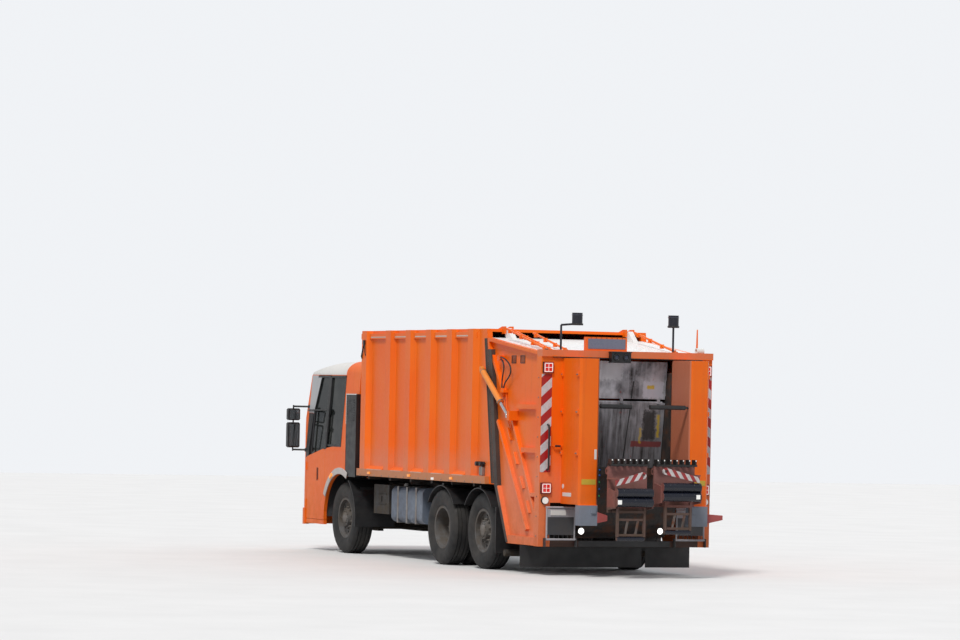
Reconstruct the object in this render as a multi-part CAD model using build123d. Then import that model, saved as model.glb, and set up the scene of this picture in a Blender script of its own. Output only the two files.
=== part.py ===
# Rear-loading garbage truck with a low-entry cab, a ribbed container, a lifting tailgate
# and two bin lifters. Millimetres. Stations: x is counted forward from the rear face of
# the corner posts, y to the left, z up from the ground. save() shifts x to the origin.
from build123d import *
import math
import os

os.makedirs("parts", exist_ok=True)

# Overall
CAB_FRONT = 9090.0
LIFT_REAR = -1100.0
ORIGIN_X = (CAB_FRONT + LIFT_REAR) / 2
BODY_HALF = 1250.0
MOVING_GAP = 6.0
SEAT_GAP = 0.3
PIN_GAP = 0.05

# Wheels
TYRE_R = 520.0
TYRE_W = 300.0
RIM_R = 286.0
RIM_W = 230.0
RIM_WALL = 14.0
RIM_LIP = 12.0
RIM_LIP_T = 8.0
DISC_T = 16.0
HUB_R = 130.0
SPINDLE_R = 45.0
AXLE_Z = TYRE_R
FRONT_AXLE_X = 7390.0
DRIVE_AXLE_X = 3450.0
TRAIL_AXLE_X = 2100.0
SINGLE_Y = BODY_HALF - 220.0
TWIN_OUT_Y = BODY_HALF - 170.0
TWIN_IN_Y = TWIN_OUT_Y - 335.0
KINGPIN_Y = SINGLE_Y - 150.0
KINGPIN_R = 28.0
ARCH_R = 640.0
HAND_HOLE_R = 215.0
TIE_BACK = 190.0
TIE_Y = KINGPIN_Y
TIE_PIN_R = 12.0

# Chassis
RAIL_OUT = 400.0
RAIL_FLANGE = 80.0
RAIL_T = 10.0
RAIL_Z0 = 780.0
RAIL_H = 270.0
RAIL_REAR = 1640.0
RAIL_FRONT = 8010.0
DROP_Z0 = 310.0
DROP_FRONT = 8960.0
TOW_HOLE_R = 20.0
TOW_HOLE_DEPTH = 70.0
TOW_HOLE_Y = 360.0
TOW_HOLE_Z = 352.0
SUBFRAME_W = 90.0
SPRING_Y = 470.0
GUARD_X = 1290.0
GUARD_Z = 250.0
GUARD_R = 45.0

# Container
FLOOR_Z = 1158.0
SIDE_RAIL_H = 104.0
CONTAINER_TOP = 3260.0
CONTAINER_FRONT = 6700.0
RIB_DEPTH = 70.0
SKIN_HALF = BODY_HALF - RIB_DEPTH
SKIN_T = 12.0
FLOOR_T = 40.0
ROOF_T = 40.0
RIB_FACE = 190.0
RIB_BASE = 320.0
SEAM_TOP_X = 1995.0
SEAM_KINK_X = 1700.0
SEAM_KINK_Z = 1400.0
REAR_FRAME_W = 170.0
REAR_FRAME_HALF = BODY_HALF - 65.0

# Tailgate
TG_HALF = REAR_FRAME_HALF
TG_PLATE_HALF = TG_HALF - 55.0
TG_PLATE_T = 12.0
TG_TOP_FRONT_Z = 3140.0
TG_TOP_REAR_Z = 2920.0
TG_BOTTOM_Z = 385.0
TG_BOTTOM_FRONT_X = 1185.0
HINGE_X = 1960.0
HINGE_Z = 3235.0
HINGE_PIN_R = 25.0
HINGE_Y = 900.0
POST_IN = BODY_HALF - 170.0
POST_OUT = BODY_HALF - 10.0
POST_DEPTH = 150.0
BEAM_Z0 = TG_TOP_REAR_Z - 40.0
BEAM_Z1 = BEAM_Z0 + 90.0
CHEEK_IN = 650.0
CHEEK_OUT = 930.0
CHEEK_REAR = -580.0
CHEEK_Z0 = 950.0
CHEEK_Z1 = BEAM_Z0 - 20.0
SILL_Z = 1450.0
TROUGH_R = 470.0
TROUGH_Z = 500.0
TROUGH_X = 330.0
TROUGH_T = 12.0
THROAT_Z = 1230.0

# Lift cylinders
LIFT_Y = BODY_HALF - 14.0
BARREL_R = 40.0
ROD_R = 24.0
LIFT_PIN_R = 18.0
LIFT_EYE_R = 38.0
LIFT_EYE_W = 44.0
BARREL_PIN = (2050.0, 2710.0)
ROD_PIN = (1110.0, 2095.0)
BARREL_LEN = 820.0
ROD_END_GAP = 2.0

# Packer
PACK_HALF = 630.0
PACK_SLOPE = math.degrees(math.atan2(1440.0, 1050.0))
BLADE_PIN = (190.0, 2300.0)
BLADE_LEN = 930.0
BLADE_LEAN = 7.3
CARRIAGE_TOP_Z = TG_TOP_REAR_Z - 80.0
PACK_T = 45.0

# Lifters
LIFT_PIVOT_X = -680.0
LIFT_PIVOT_Z = 1400.0
LIFT_PIVOT_R = 22.0
LIFTER_DROP = 78.0
ROLLER_R = 60.0
ROLLER_X = LIFT_REAR + ROLLER_R
LIFTER_PLATE_X = -820.0
COMB_Z = 1480.0
ARM_PIN_X = -1070.0
ARM_PIN_R = 12.0
ARM_T = 30.0
LUG_T = 30.0

# Steps
STEP_X = -40.0
STEP_Z = 480.0
STEP_TOP = 900.0
STEP_IN = CHEEK_IN + 76.0
STEP_OUT = POST_IN + 74.0
STEP_TUBE_R = 14.0
STEP_POST_R = 11.0
STEP_PIN_R = 8.0

# Cab
CAB_REAR = 6800.0
CAB_WALL = 50.0
CAB_ROOF_FRONT = (8780.0, 2665.0)
CAB_ROOF_REAR_Z = 2820.0
SCREEN_FOOT = (9060.0, 1370.0)
CAB_FOOT_Z = 400.0
CAB_SHOULDER_Z = 1500.0
CAB_ROOF_HALF = BODY_HALF - 80.0
CAB_WIDE = BODY_HALF + 50.0
CAB_CORNER_R = 240.0
DOOR_FRONT = 8790.0
DOOR_REAR = 8030.0
DOOR_FOOT_Z = 470.0
DOOR_TOP_Z = 2612.0
DOOR_PIN_X = DOOR_FRONT + MOVING_GAP / 2
DOOR_PIN_Y = BODY_HALF + 2.0
DOOR_KNUCKLE_R = 12.0
DOOR_HINGE_Z = (700.0, 1250.0)
GLASS_T = 8.0
BUMPER_T = 20.0
MIRROR_X = 9030.0
MIRROR_IN = BODY_HALF + 50.0
MIRROR_OUT = BODY_HALF + 240.0
QUARTER_REAR = 7410.0
FLOOR_LOW_Z = 560.0
FLOOR_HIGH_Z = 1290.0
CAB_FLOOR_T = 40.0
ROOF_EDGE_Z = 2620.0
ROOF_REAR_R = 210.0
SCREEN_FOOT_HALF = BODY_HALF - 130.0
SCREEN_TOP_HALF = BODY_HALF - 190.0
SCREEN_Z = (1420.0, 2560.0)
SIDE_GLASS_TOP = 2580.0
PILLAR_X = 8400.0
CAB_SPLIT = BODY_HALF - 140.0
STACK_IN = BODY_HALF - 220.0
STACK_FRONT = 7180.0
STACK_TOP = 2340.0
LAMP_IN = 700.0
LAMP_OUT = 985.0
LAMP_Z = (455.0, 585.0)
DASH_Z = 1182.0


def box(x0, x1, y0, y1, z0, z1):
    """A block between two corners."""
    block = Box(x1 - x0, y1 - y0, z1 - z0)
    return Pos((x0 + x1) / 2, (y0 + y1) / 2, (z0 + z1) / 2) * block


def prism_y(points, y0, y1):
    """A side profile of (x, z) points, extruded from y0 to y1."""
    wire = Polyline(*[(x, y0, z) for x, z in points], close=True)
    return extrude(make_face(wire), amount=y1 - y0, dir=(0, 1, 0))


def prism_x(points, x0, x1):
    """A cross-section of (y, z) points, extruded from x0 to x1."""
    wire = Polyline(*[(x0, y, z) for y, z in points], close=True)
    return extrude(make_face(wire), amount=x1 - x0, dir=(1, 0, 0))


def prism_z(points, z0, z1):
    """A plan of (x, y) points, extruded from z0 to z1."""
    wire = Polyline(*[(x, y, z0) for x, y in points], close=True)
    return extrude(make_face(wire), amount=z1 - z0, dir=(0, 0, 1))


def rod(a, b, radius):
    """A round bar between two points."""
    start = Vector(*a)
    run = Vector(*b) - start
    plane = Plane(origin=start, z_dir=run.normalized())
    return extrude(plane * Circle(radius), amount=run.length)


def bar_y(a, b, width, y0, y1):
    """A flat bar in side view from a to b (x, z), as wide as width, between y0 and y1."""
    run = Vector(b[0] - a[0], b[1] - a[1])
    half = Vector(-run.Y, run.X).normalized() * (width / 2)
    corners = [
        (a[0] + half.X, a[1] + half.Y),
        (b[0] + half.X, b[1] + half.Y),
        (b[0] - half.X, b[1] - half.Y),
        (a[0] - half.X, a[1] - half.Y),
    ]
    return prism_y(corners, y0, y1)


def other_side(shape):
    """The same piece on the right of the truck."""
    return mirror(shape, about=Plane.XZ)


def pair(shape):
    """A left piece and its right twin."""
    return [shape, other_side(shape)]


def zones_of(shape, zones):
    """The parts of a shape in several zones that meet, as separate solids."""
    return [piece for zone in zones for piece in solids_of(shape & zone)]


def solids_of(shape):
    """The separate solids in a shape or in a list of shapes."""
    if isinstance(shape, (list, tuple)):
        return [s for item in shape for s in solids_of(item)]
    return list(shape.solids())


def save(name, shape):
    """Shift a node from stations to the origin and write it."""
    node = Compound(solids_of(shape)).moved(Location((-ORIGIN_X, 0, 0)))
    export_step(node, f"parts/{name}.step")


# Wheels
def tyre(y):
    """One tyre, revolved about its axle, with bulged walls and sloping shoulders."""
    half = TYRE_W / 2
    bead = RIM_W / 2 - RIM_LIP_T - SEAT_GAP
    # outer half of the section: offset from the middle, radius
    outer = [
        (bead, RIM_R + SEAT_GAP),
        (bead, RIM_R + RIM_LIP + 1.0),
        (half, RIM_R + 95.0),
        (half - 8, TYRE_R - 60.0),
        (half - 35, TYRE_R),
    ]
    section = outer + [(-u, r) for u, r in reversed(outer)]
    wire = Polyline(*[(0, u, r) for u, r in section], close=True)
    return Pos(0, y, 0) * revolve(make_face(wire), axis=Axis.Y)


def rim(y, dish, hub_out, holes):
    """One steel wheel: barrel with two lips, disc with hand holes, and hub.

    dish is the disc's offset from the wheel's middle, hub_out the hub's end beyond it.
    """
    half = RIM_W / 2
    bore = SPINDLE_R + PIN_GAP
    well = RIM_R - RIM_WALL - 10
    section = [
        (-half, RIM_R - 22.0),
        (-half, RIM_R + RIM_LIP),
        (RIM_LIP_T - half, RIM_R + RIM_LIP),
        (RIM_LIP_T - half, RIM_R),
        (half - RIM_LIP_T, RIM_R),
        (half - RIM_LIP_T, RIM_R + RIM_LIP),
        (half, RIM_R + RIM_LIP),
        (half, RIM_R - 22.0),
        (dish + DISC_T, well),
        (dish + DISC_T, HUB_R),
        (hub_out, HUB_R - 12.0),
        (hub_out, bore),
        (dish - 60.0, bore),
        (dish - 60.0, HUB_R),
        (dish, HUB_R),
        (dish, well),
    ]
    wire = Polyline(*[(0, u, r) for u, r in section], close=True)
    wheel = revolve(make_face(wire), axis=Axis.Y)
    plane = Plane(origin=(0, dish - DISC_T, HAND_HOLE_R), x_dir=(1, 0, 0), z_dir=(0, 1, 0))
    hole = extrude(plane * RegularPolygon(26, 10), amount=3 * DISC_T)
    for k in range(holes):
        wheel -= Rot(0, 360.0 * k / holes, 0) * hole
    return Pos(0, y, 0) * wheel


def at_axle(shape, x):
    """Move a piece that was drawn on the Y axis to its axle."""
    return Pos(x, 0, AXLE_Z) * shape


HUB_END = SINGLE_Y + 95.0


def build_wheels():
    # place, axle station, then the middle, disc offset and hand holes of each wheel
    table = [
        ("front", FRONT_AXLE_X, [(SINGLE_Y, 40.0, 8)]),
        ("drive", DRIVE_AXLE_X, [(TWIN_OUT_Y, -100.0, 8), (TWIN_IN_Y, 84.0, 0)]),
        ("trailing", TRAIL_AXLE_X, [(SINGLE_Y, 40.0, 8)]),
    ]
    for place, x, wheels in table:
        tyres = [tyre(y) for y, dish, holes in wheels]
        rims = [rim(y, dish, dish + 75.0, holes) for y, dish, holes in wheels]
        for side, turn in (("left", lambda s: s), ("right", other_side)):
            save(f"tyre_{place}_{side}", [at_axle(turn(t), x) for t in tyres])
            save(f"rim_{place}_{side}", [at_axle(turn(r), x) for r in rims])


# Chassis
def channel(side):
    """One frame rail, a channel open towards the middle."""
    z1 = RAIL_Z0 + RAIL_H
    inner = RAIL_OUT - RAIL_FLANGE
    section = [
        (RAIL_OUT, RAIL_Z0),
        (RAIL_OUT, z1),
        (inner, z1),
        (inner, z1 - RAIL_T),
        (RAIL_OUT - RAIL_T, z1 - RAIL_T),
        (RAIL_OUT - RAIL_T, RAIL_Z0 + RAIL_T),
        (inner, RAIL_Z0 + RAIL_T),
        (inner, RAIL_Z0),
    ]
    return prism_x([(side * y, z) for y, z in section], RAIL_REAR, RAIL_FRONT)


def build_chassis():
    """Rails, cross members, front drop beams, subframe, outriggers and underrun guard."""
    z1 = RAIL_Z0 + RAIL_H
    web = RAIL_OUT - RAIL_T
    flange_in = RAIL_OUT - RAIL_FLANGE
    sub_in = RAIL_OUT - SUBFRAME_W
    drop_top = FLOOR_LOW_Z - CAB_FLOOR_T
    pieces = [channel(1), channel(-1)]
    for x in (1700.0, 2780.0, 4200.0, 5300.0):
        pieces.append(box(x, x + 90, -web, web, RAIL_Z0 + 60, z1 - 60))
    pieces += pair(box(RAIL_FRONT - 60, RAIL_FRONT, flange_in, RAIL_OUT, drop_top, RAIL_Z0))
    pieces += pair(
        box(RAIL_FRONT - 60, DROP_FRONT - 100, flange_in, RAIL_OUT, DROP_Z0, drop_top)
    )
    front = box(DROP_FRONT - 100, DROP_FRONT, -RAIL_OUT, RAIL_OUT, DROP_Z0, drop_top)
    socket_end = (DROP_FRONT - TOW_HOLE_DEPTH, TOW_HOLE_Y, TOW_HOLE_Z)
    front -= rod(socket_end, (DROP_FRONT + 1, TOW_HOLE_Y, TOW_HOLE_Z), TOW_HOLE_R)
    pieces.append(front)
    pieces += pair(box(RAIL_REAR + 60, CONTAINER_FRONT, sub_in, RAIL_OUT, z1, FLOOR_Z))
    outer = SKIN_HALF - 40
    for x in (2450.0, 3250.0, 4000.0, 4800.0, 5600.0, 6450.0):
        pieces.append(box(x, x + 60, -sub_in, sub_in, z1 + 60, FLOOR_Z))
        pieces += pair(box(x, x + 60, RAIL_OUT, outer, z1 + 60, FLOOR_Z))
    reach = SKIN_HALF - 10
    guard = rod((GUARD_X, -reach, GUARD_Z), (GUARD_X, reach, GUARD_Z), GUARD_R)
    for side in (1, -1):
        low, high = sorted((side * (flange_in + 2), side * (flange_in + 20)))
        hanger = [
            (RAIL_REAR + 40, RAIL_Z0),
            (RAIL_REAR + 120, RAIL_Z0),
            (GUARD_X + 40, GUARD_Z),
            (GUARD_X - 40, GUARD_Z),
        ]
        guard += prism_y(hanger, low, high)
    pieces.append(guard)
    save("chassis_frame", pieces)


def front_axle():
    """The front beam with its kingpin eyes, and the leaf springs and their hangers."""
    x = FRONT_AXLE_X
    beam_end = KINGPIN_Y - 62.0
    eye_in = KINGPIN_Y - 20.0
    drop = AXLE_Z - 90.0
    pad_top = 575.0
    beam = box(x - 55, x + 55, -560, 560, drop - 55, drop + 55)
    for side in (1, -1):
        rise = [
            (side * 500, drop - 55),
            (side * 640, AXLE_Z - 60),
            (side * beam_end, AXLE_Z - 60),
            (side * beam_end, AXLE_Z + 60),
            (side * 600, AXLE_Z + 60),
            (side * 500, drop + 55),
        ]
        beam += prism_x(rise, x - 50, x + 50)
        low, high = sorted((side * beam_end, side * eye_in))
        beam += box(x - 40, x + 40, low, high, AXLE_Z - 50, AXLE_Z + 50)
        low, high = sorted((side * (SPRING_Y - 50), side * (SPRING_Y + 50)))
        beam += box(x - 60, x + 60, low, high, drop, pad_top)
        spot = Pos(x, side * KINGPIN_Y, AXLE_Z)
        beam += spot * Cylinder(55, 110)
        beam -= spot * Cylinder(KINGPIN_R + PIN_GAP, 200)
    spring = prism_y(
        [
            (x - 560, 700),
            (x - 60, pad_top),
            (x + 60, pad_top),
            (x + 560, 700),
            (x + 560, 725),
            (x + 60, pad_top + 37),
            (x - 60, pad_top + 37),
            (x - 560, 725),
        ],
        SPRING_Y - 40,
        SPRING_Y + 40,
    )
    pieces = [beam] + pair(spring)
    for end in (-520, 520):
        pieces += pair(box(x + end - 45, x + end + 45, RAIL_OUT, SPRING_Y - 40, 690, 860))
    return pieces


def rear_axle(x, end, driven):
    """One rear axle on its trailing arms, with air bellows under the frame's brackets."""
    z = AXLE_Z
    arm_y = SPRING_Y + 20
    axle = rod((x, -end, z), (x, end, z), SPINDLE_R)
    axle += rod((x, -540, z), (x, 540, z), 70)
    if driven:
        casing = [(-150, 0), (-150, 75), (-90, 220), (90, 220), (150, 75), (150, 0)]
        wire = Polyline(*[(0, u, r) for u, r in casing], close=True)
        axle += Pos(x, 0, z) * revolve(make_face(wire), axis=Axis.Y)
        axle += rod((x + 150, 0, z), (x + 330, 0, z + 30), 80)
        axle += rod((x + 300, 0, z + 28), (6230, 0, 880), 45)
    for side in (1, -1):
        low, high = sorted((side * (arm_y - 45), side * (arm_y + 45)))
        axle += box(x - 400, x + 400, low, high, z - 20, z + 65)
    pieces = [axle]
    for end_x in (-330, 330):
        bellows = rod((x + end_x, arm_y, z + 65), (x + end_x, arm_y, RAIL_Z0), 90)
        pieces += pair(bellows)
    pieces += pair(box(x - 400, x + 400, RAIL_OUT, 580, RAIL_Z0, RAIL_Z0 + 60))
    return pieces


def build_axles():
    drive = rear_axle(DRIVE_AXLE_X, TWIN_OUT_Y - 40, True)
    trailing = rear_axle(TRAIL_AXLE_X, SINGLE_Y + 95, False)
    save("axles", front_axle() + drive + trailing)


def knuckle():
    """Left steering knuckle: fork round the axle's eye, kingpin, spindle and arm."""
    x, y, z = FRONT_AXLE_X, KINGPIN_Y, AXLE_Z
    gap = 55.0 + SEAT_GAP
    part = Pos(x, y, z) * Cylinder(KINGPIN_R, 2 * (gap + 30))
    part += Pos(x, y, z + gap + 20) * Cylinder(48, 40)
    part += Pos(x, y, z - gap - 20) * Cylinder(48, 40)
    part += box(x - 45, x + 45, y + 62, y + 82, z - gap - 40, z + gap + 40)
    for level in (gap, -gap - 40):
        part += box(x - 40, x + 40, y, y + 82, z + level, z + level + 40)
    part += rod((x, y + 70, z), (x, HUB_END, z), SPINDLE_R)
    part += prism_z(
        [
            (x + 40, y - 45),
            (x + 40, y + 45),
            (x - TIE_BACK - 32, TIE_Y + 30),
            (x - TIE_BACK - 32, TIE_Y - 30),
        ],
        z - gap - 40,
        z - gap - 15,
    )
    part -= Pos(x - TIE_BACK, TIE_Y, z) * Cylinder(TIE_PIN_R + PIN_GAP, 400)
    return part


def build_steering():
    left = knuckle()
    save("knuckle_left", left)
    save("knuckle_right", other_side(left))
    z = AXLE_Z - 55.0 - SEAT_GAP - 40
    x = FRONT_AXLE_X - TIE_BACK
    tie = rod((x, -TIE_Y, z - 40), (x, TIE_Y, z - 40), 18)
    for side in (1, -1):
        tie += Pos(x, side * TIE_Y, z - 40) * Cylinder(28, 60)
        tie += Pos(x, side * TIE_Y, z - 5) * Cylinder(TIE_PIN_R, 62)
    save("tie_rod", tie)


def build_underbody():
    engine = box(6900, 7900, -300, 300, 700, 1230)
    engine += box(6250, 6900, -230, 230, 700, 1100)
    web = RAIL_OUT - RAIL_T
    for x in (7000, 7700):
        engine += box(x, x + 100, -web, web, 840, 920)
    save("engine", engine)

    def tank(x0, x1, y0, y1, z0, z1, corner):
        block = box(x0, x1, y0, y1, z0, z1)
        return fillet(block.edges().filter_by(Axis.X), corner)

    fuel = tank(4450, 5650, 470, 1100, 520, 1030, 90)
    air = [rod((4500 + 520 * k, -1000, 900), (4960 + 520 * k, -1000, 900), 120) for k in range(2)]
    hangers = []
    for x in (4650, 5400):
        hangers.append(box(x, x + 50, RAIL_OUT, 471, 800, 1000))
    for k in range(2):
        x = 4700 + 520 * k
        hangers.append(box(x, x + 50, -900, -RAIL_OUT, 860, 940))
    save("tanks", [fuel + hangers[0] + hangers[1], air[0] + hangers[2], air[1] + hangers[3]])

    battery = box(5800, 6400, 480, 1080, 620, 1040) + box(5900, 6300, RAIL_OUT, 480, 800, 900)
    silencer = tank(5750, 6450, -1090, -480, 560, 1040, 60)
    silencer += box(5900, 6300, -480, -RAIL_OUT, 800, 900)
    save("side_boxes", [battery, silencer])


def arch_strip(x, radius, thick, start, end, y0, y1):
    """A mudguard: a band bent round an axle between two angles, 0 forward and 90 up."""
    outer = radius + thick
    ring = Circle(outer) - Circle(radius)
    points = [(0.0, 0.0)]
    reach = outer * 1.6
    steps = 6
    for k in range(steps + 1):
        a = math.radians(start + (end - start) * k / steps)
        points.append((reach * math.cos(a), reach * math.sin(a)))
    wedge = make_face(Polyline(*points, close=True))
    sector = ring & wedge
    plane = Plane(origin=(x, y0, AXLE_Z), x_dir=(1, 0, 0), z_dir=(0, -1, 0))
    return extrude(plane * sector, amount=y1 - y0, dir=(0, 1, 0))


def build_mudguards():
    guards = []
    for x in (DRIVE_AXLE_X, TRAIL_AXLE_X):
        guard = arch_strip(x, TYRE_R + 50, 10, 35, 145, TWIN_IN_Y - 155, BODY_HALF - 15)
        guard += box(x - 25, x + 25, RAIL_OUT, BODY_HALF - 50, AXLE_Z + TYRE_R + 56, FLOOR_Z - 30)
        guards += pair(guard)
    flap = box(1475, 1487, 640, BODY_HALF - 25, 240, 800)
    flap += box(1475, 1500, RAIL_OUT - 60, BODY_HALF - 25, 800, 860)
    flap += box(1475, RAIL_REAR + 60, RAIL_OUT - 60, RAIL_OUT - RAIL_T, 800, 860)
    guards += pair(flap)
    front = arch_strip(FRONT_AXLE_X, ARCH_R - 6, 12, 120, 190, 620, BODY_HALF - 10)
    front += box(6900, 6950, RAIL_OUT, BODY_HALF - 150, 940, 980)
    guards += pair(front)
    save("mudguards", guards)


# Cab
def arc_run(*runs):
    """A closed face from runs in turn: straight points, then arcs of (middle, end)."""
    edges = []
    first = runs[0][0]
    here = None
    for k, run in enumerate(runs):
        for point in run:
            if k % 2:
                middle, end = point
                edges.append(ThreePointArc(here, middle, end))
                here = end
                continue
            if here is not None and here != point:
                edges.append(Line(here, point))
            here = point
    if here != first:
        edges.append(Line(here, first))
    return make_face(edges)


def cab_envelope(inset):
    """The cab's outer form, pulled in by inset on every face."""
    fx, fz = CAB_ROOF_FRONT
    sx, sz = SCREEN_FOOT
    top = CAB_ROOF_REAR_Z - inset
    fx -= inset
    fz -= inset
    half = BODY_HALF - inset
    front_x = CAB_FRONT - BUMPER_T - inset
    crown_x = 7200.0
    brow = (fx - 60, fz + 5)
    lower = [
        (crown_x, top),
        (CAB_REAR + inset, top),
        (CAB_REAR + inset, CAB_FOOT_Z + inset),
        (front_x - 30, CAB_FOOT_Z + inset),
        (front_x, 700.0),
        (sx - inset, sz),
        (fx + 60, fz - 60),
    ]
    roof_line = arc_run(lower, [((fx + 8, fz - 13), brow), ((7960.0 - inset / 2, top - 37), (crown_x, top))])
    side = extrude(Plane(origin=(0, half, 0), x_dir=(1, 0, 0), z_dir=(0, -1, 0)) * roof_line, amount=2 * half)
    shoulder = CAB_ROOF_HALF - inset
    edge_z = ROOF_EDGE_Z - inset
    walls = [
        (shoulder - 200, top + 1),
        (200 - shoulder, top + 1),
    ]
    section = arc_run(
        walls,
        [((55 - shoulder, edge_z + 145), (-shoulder, edge_z))],
        [
            (-half, CAB_SHOULDER_Z),
            (-half, CAB_FOOT_Z + inset),
            (half, CAB_FOOT_Z + inset),
            (half, CAB_SHOULDER_Z),
            (shoulder, edge_z),
        ],
        [((shoulder - 55, edge_z + 145), (shoulder - 200, top + 1))],
    )
    across = Plane(origin=(CAB_REAR + inset, 0, 0), x_dir=(0, 1, 0), z_dir=(1, 0, 0))
    body = side & extrude(across * section, amount=front_x - CAB_REAR - inset)
    corner = CAB_CORNER_R - inset
    plan = box(CAB_REAR + inset, front_x, -half, half, CAB_FOOT_Z + inset, top + 1)
    edges = plan.edges().filter_by(Axis.Z).sort_by(Axis.X)[-2:]
    return body & fillet(edges, corner)


def side_cutter(points):
    """A cut through both side walls, from a side profile."""
    return prism_y(points, -CAB_WIDE, CAB_WIDE)


DOOR_OUTLINE = [
    (DOOR_REAR, DOOR_FOOT_Z),
    (DOOR_FRONT, DOOR_FOOT_Z),
    (DOOR_FRONT, 1500.0),
    (8560.0, DOOR_TOP_Z),
    (DOOR_REAR, DOOR_TOP_Z),
]


def grow(points, by):
    """A convex outline pushed out by a distance, or pulled in by a negative one."""
    cx = sum(p[0] for p in points) / len(points)
    cz = sum(p[1] for p in points) / len(points)
    out = []
    count = len(points)
    for k in range(count):
        ax, az = points[k - 1]
        bx, bz = points[k]
        dx, dz = points[(k + 1) % count]
        n1 = Vector(bz - az, ax - bx).normalized()
        n2 = Vector(dz - bz, bx - dx).normalized()
        if (bx - cx) * n1.X + (bz - cz) * n1.Y < 0:
            n1, n2 = n1 * -1, n2 * -1
        turn = 1 + n1.X * n2.X + n1.Y * n2.Y
        out.append((bx + by * (n1.X + n2.X) / turn, bz + by * (n1.Y + n2.Y) / turn))
    return out


DOOR_WINDOW = [
    (DOOR_REAR + 45, 1525.0),
    (DOOR_FRONT - 70, 1410.0),
    (DOOR_FRONT - 150, 2040.0),
    (8430.0, SIDE_GLASS_TOP),
    (DOOR_REAR + 45, SIDE_GLASS_TOP),
]
QUARTER_WINDOW = [
    (QUARTER_REAR, 1585.0),
    (DOOR_REAR - 45, 1535.0),
    (DOOR_REAR - 45, SIDE_GLASS_TOP),
    (QUARTER_REAR, SIDE_GLASS_TOP),
]


def screen_cutter(margin):
    """What is cut from the front for the windscreen, less a margin on every side."""
    foot, top = SCREEN_Z
    foot_half = SCREEN_FOOT_HALF - margin
    top_half = SCREEN_TOP_HALF - margin
    outline = [
        (foot_half, foot + margin),
        (top_half, top - margin),
        (-top_half, top - margin),
        (-foot_half, foot + margin),
    ]
    return prism_x(outline, 8500.0, CAB_FRONT + 50)


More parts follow.
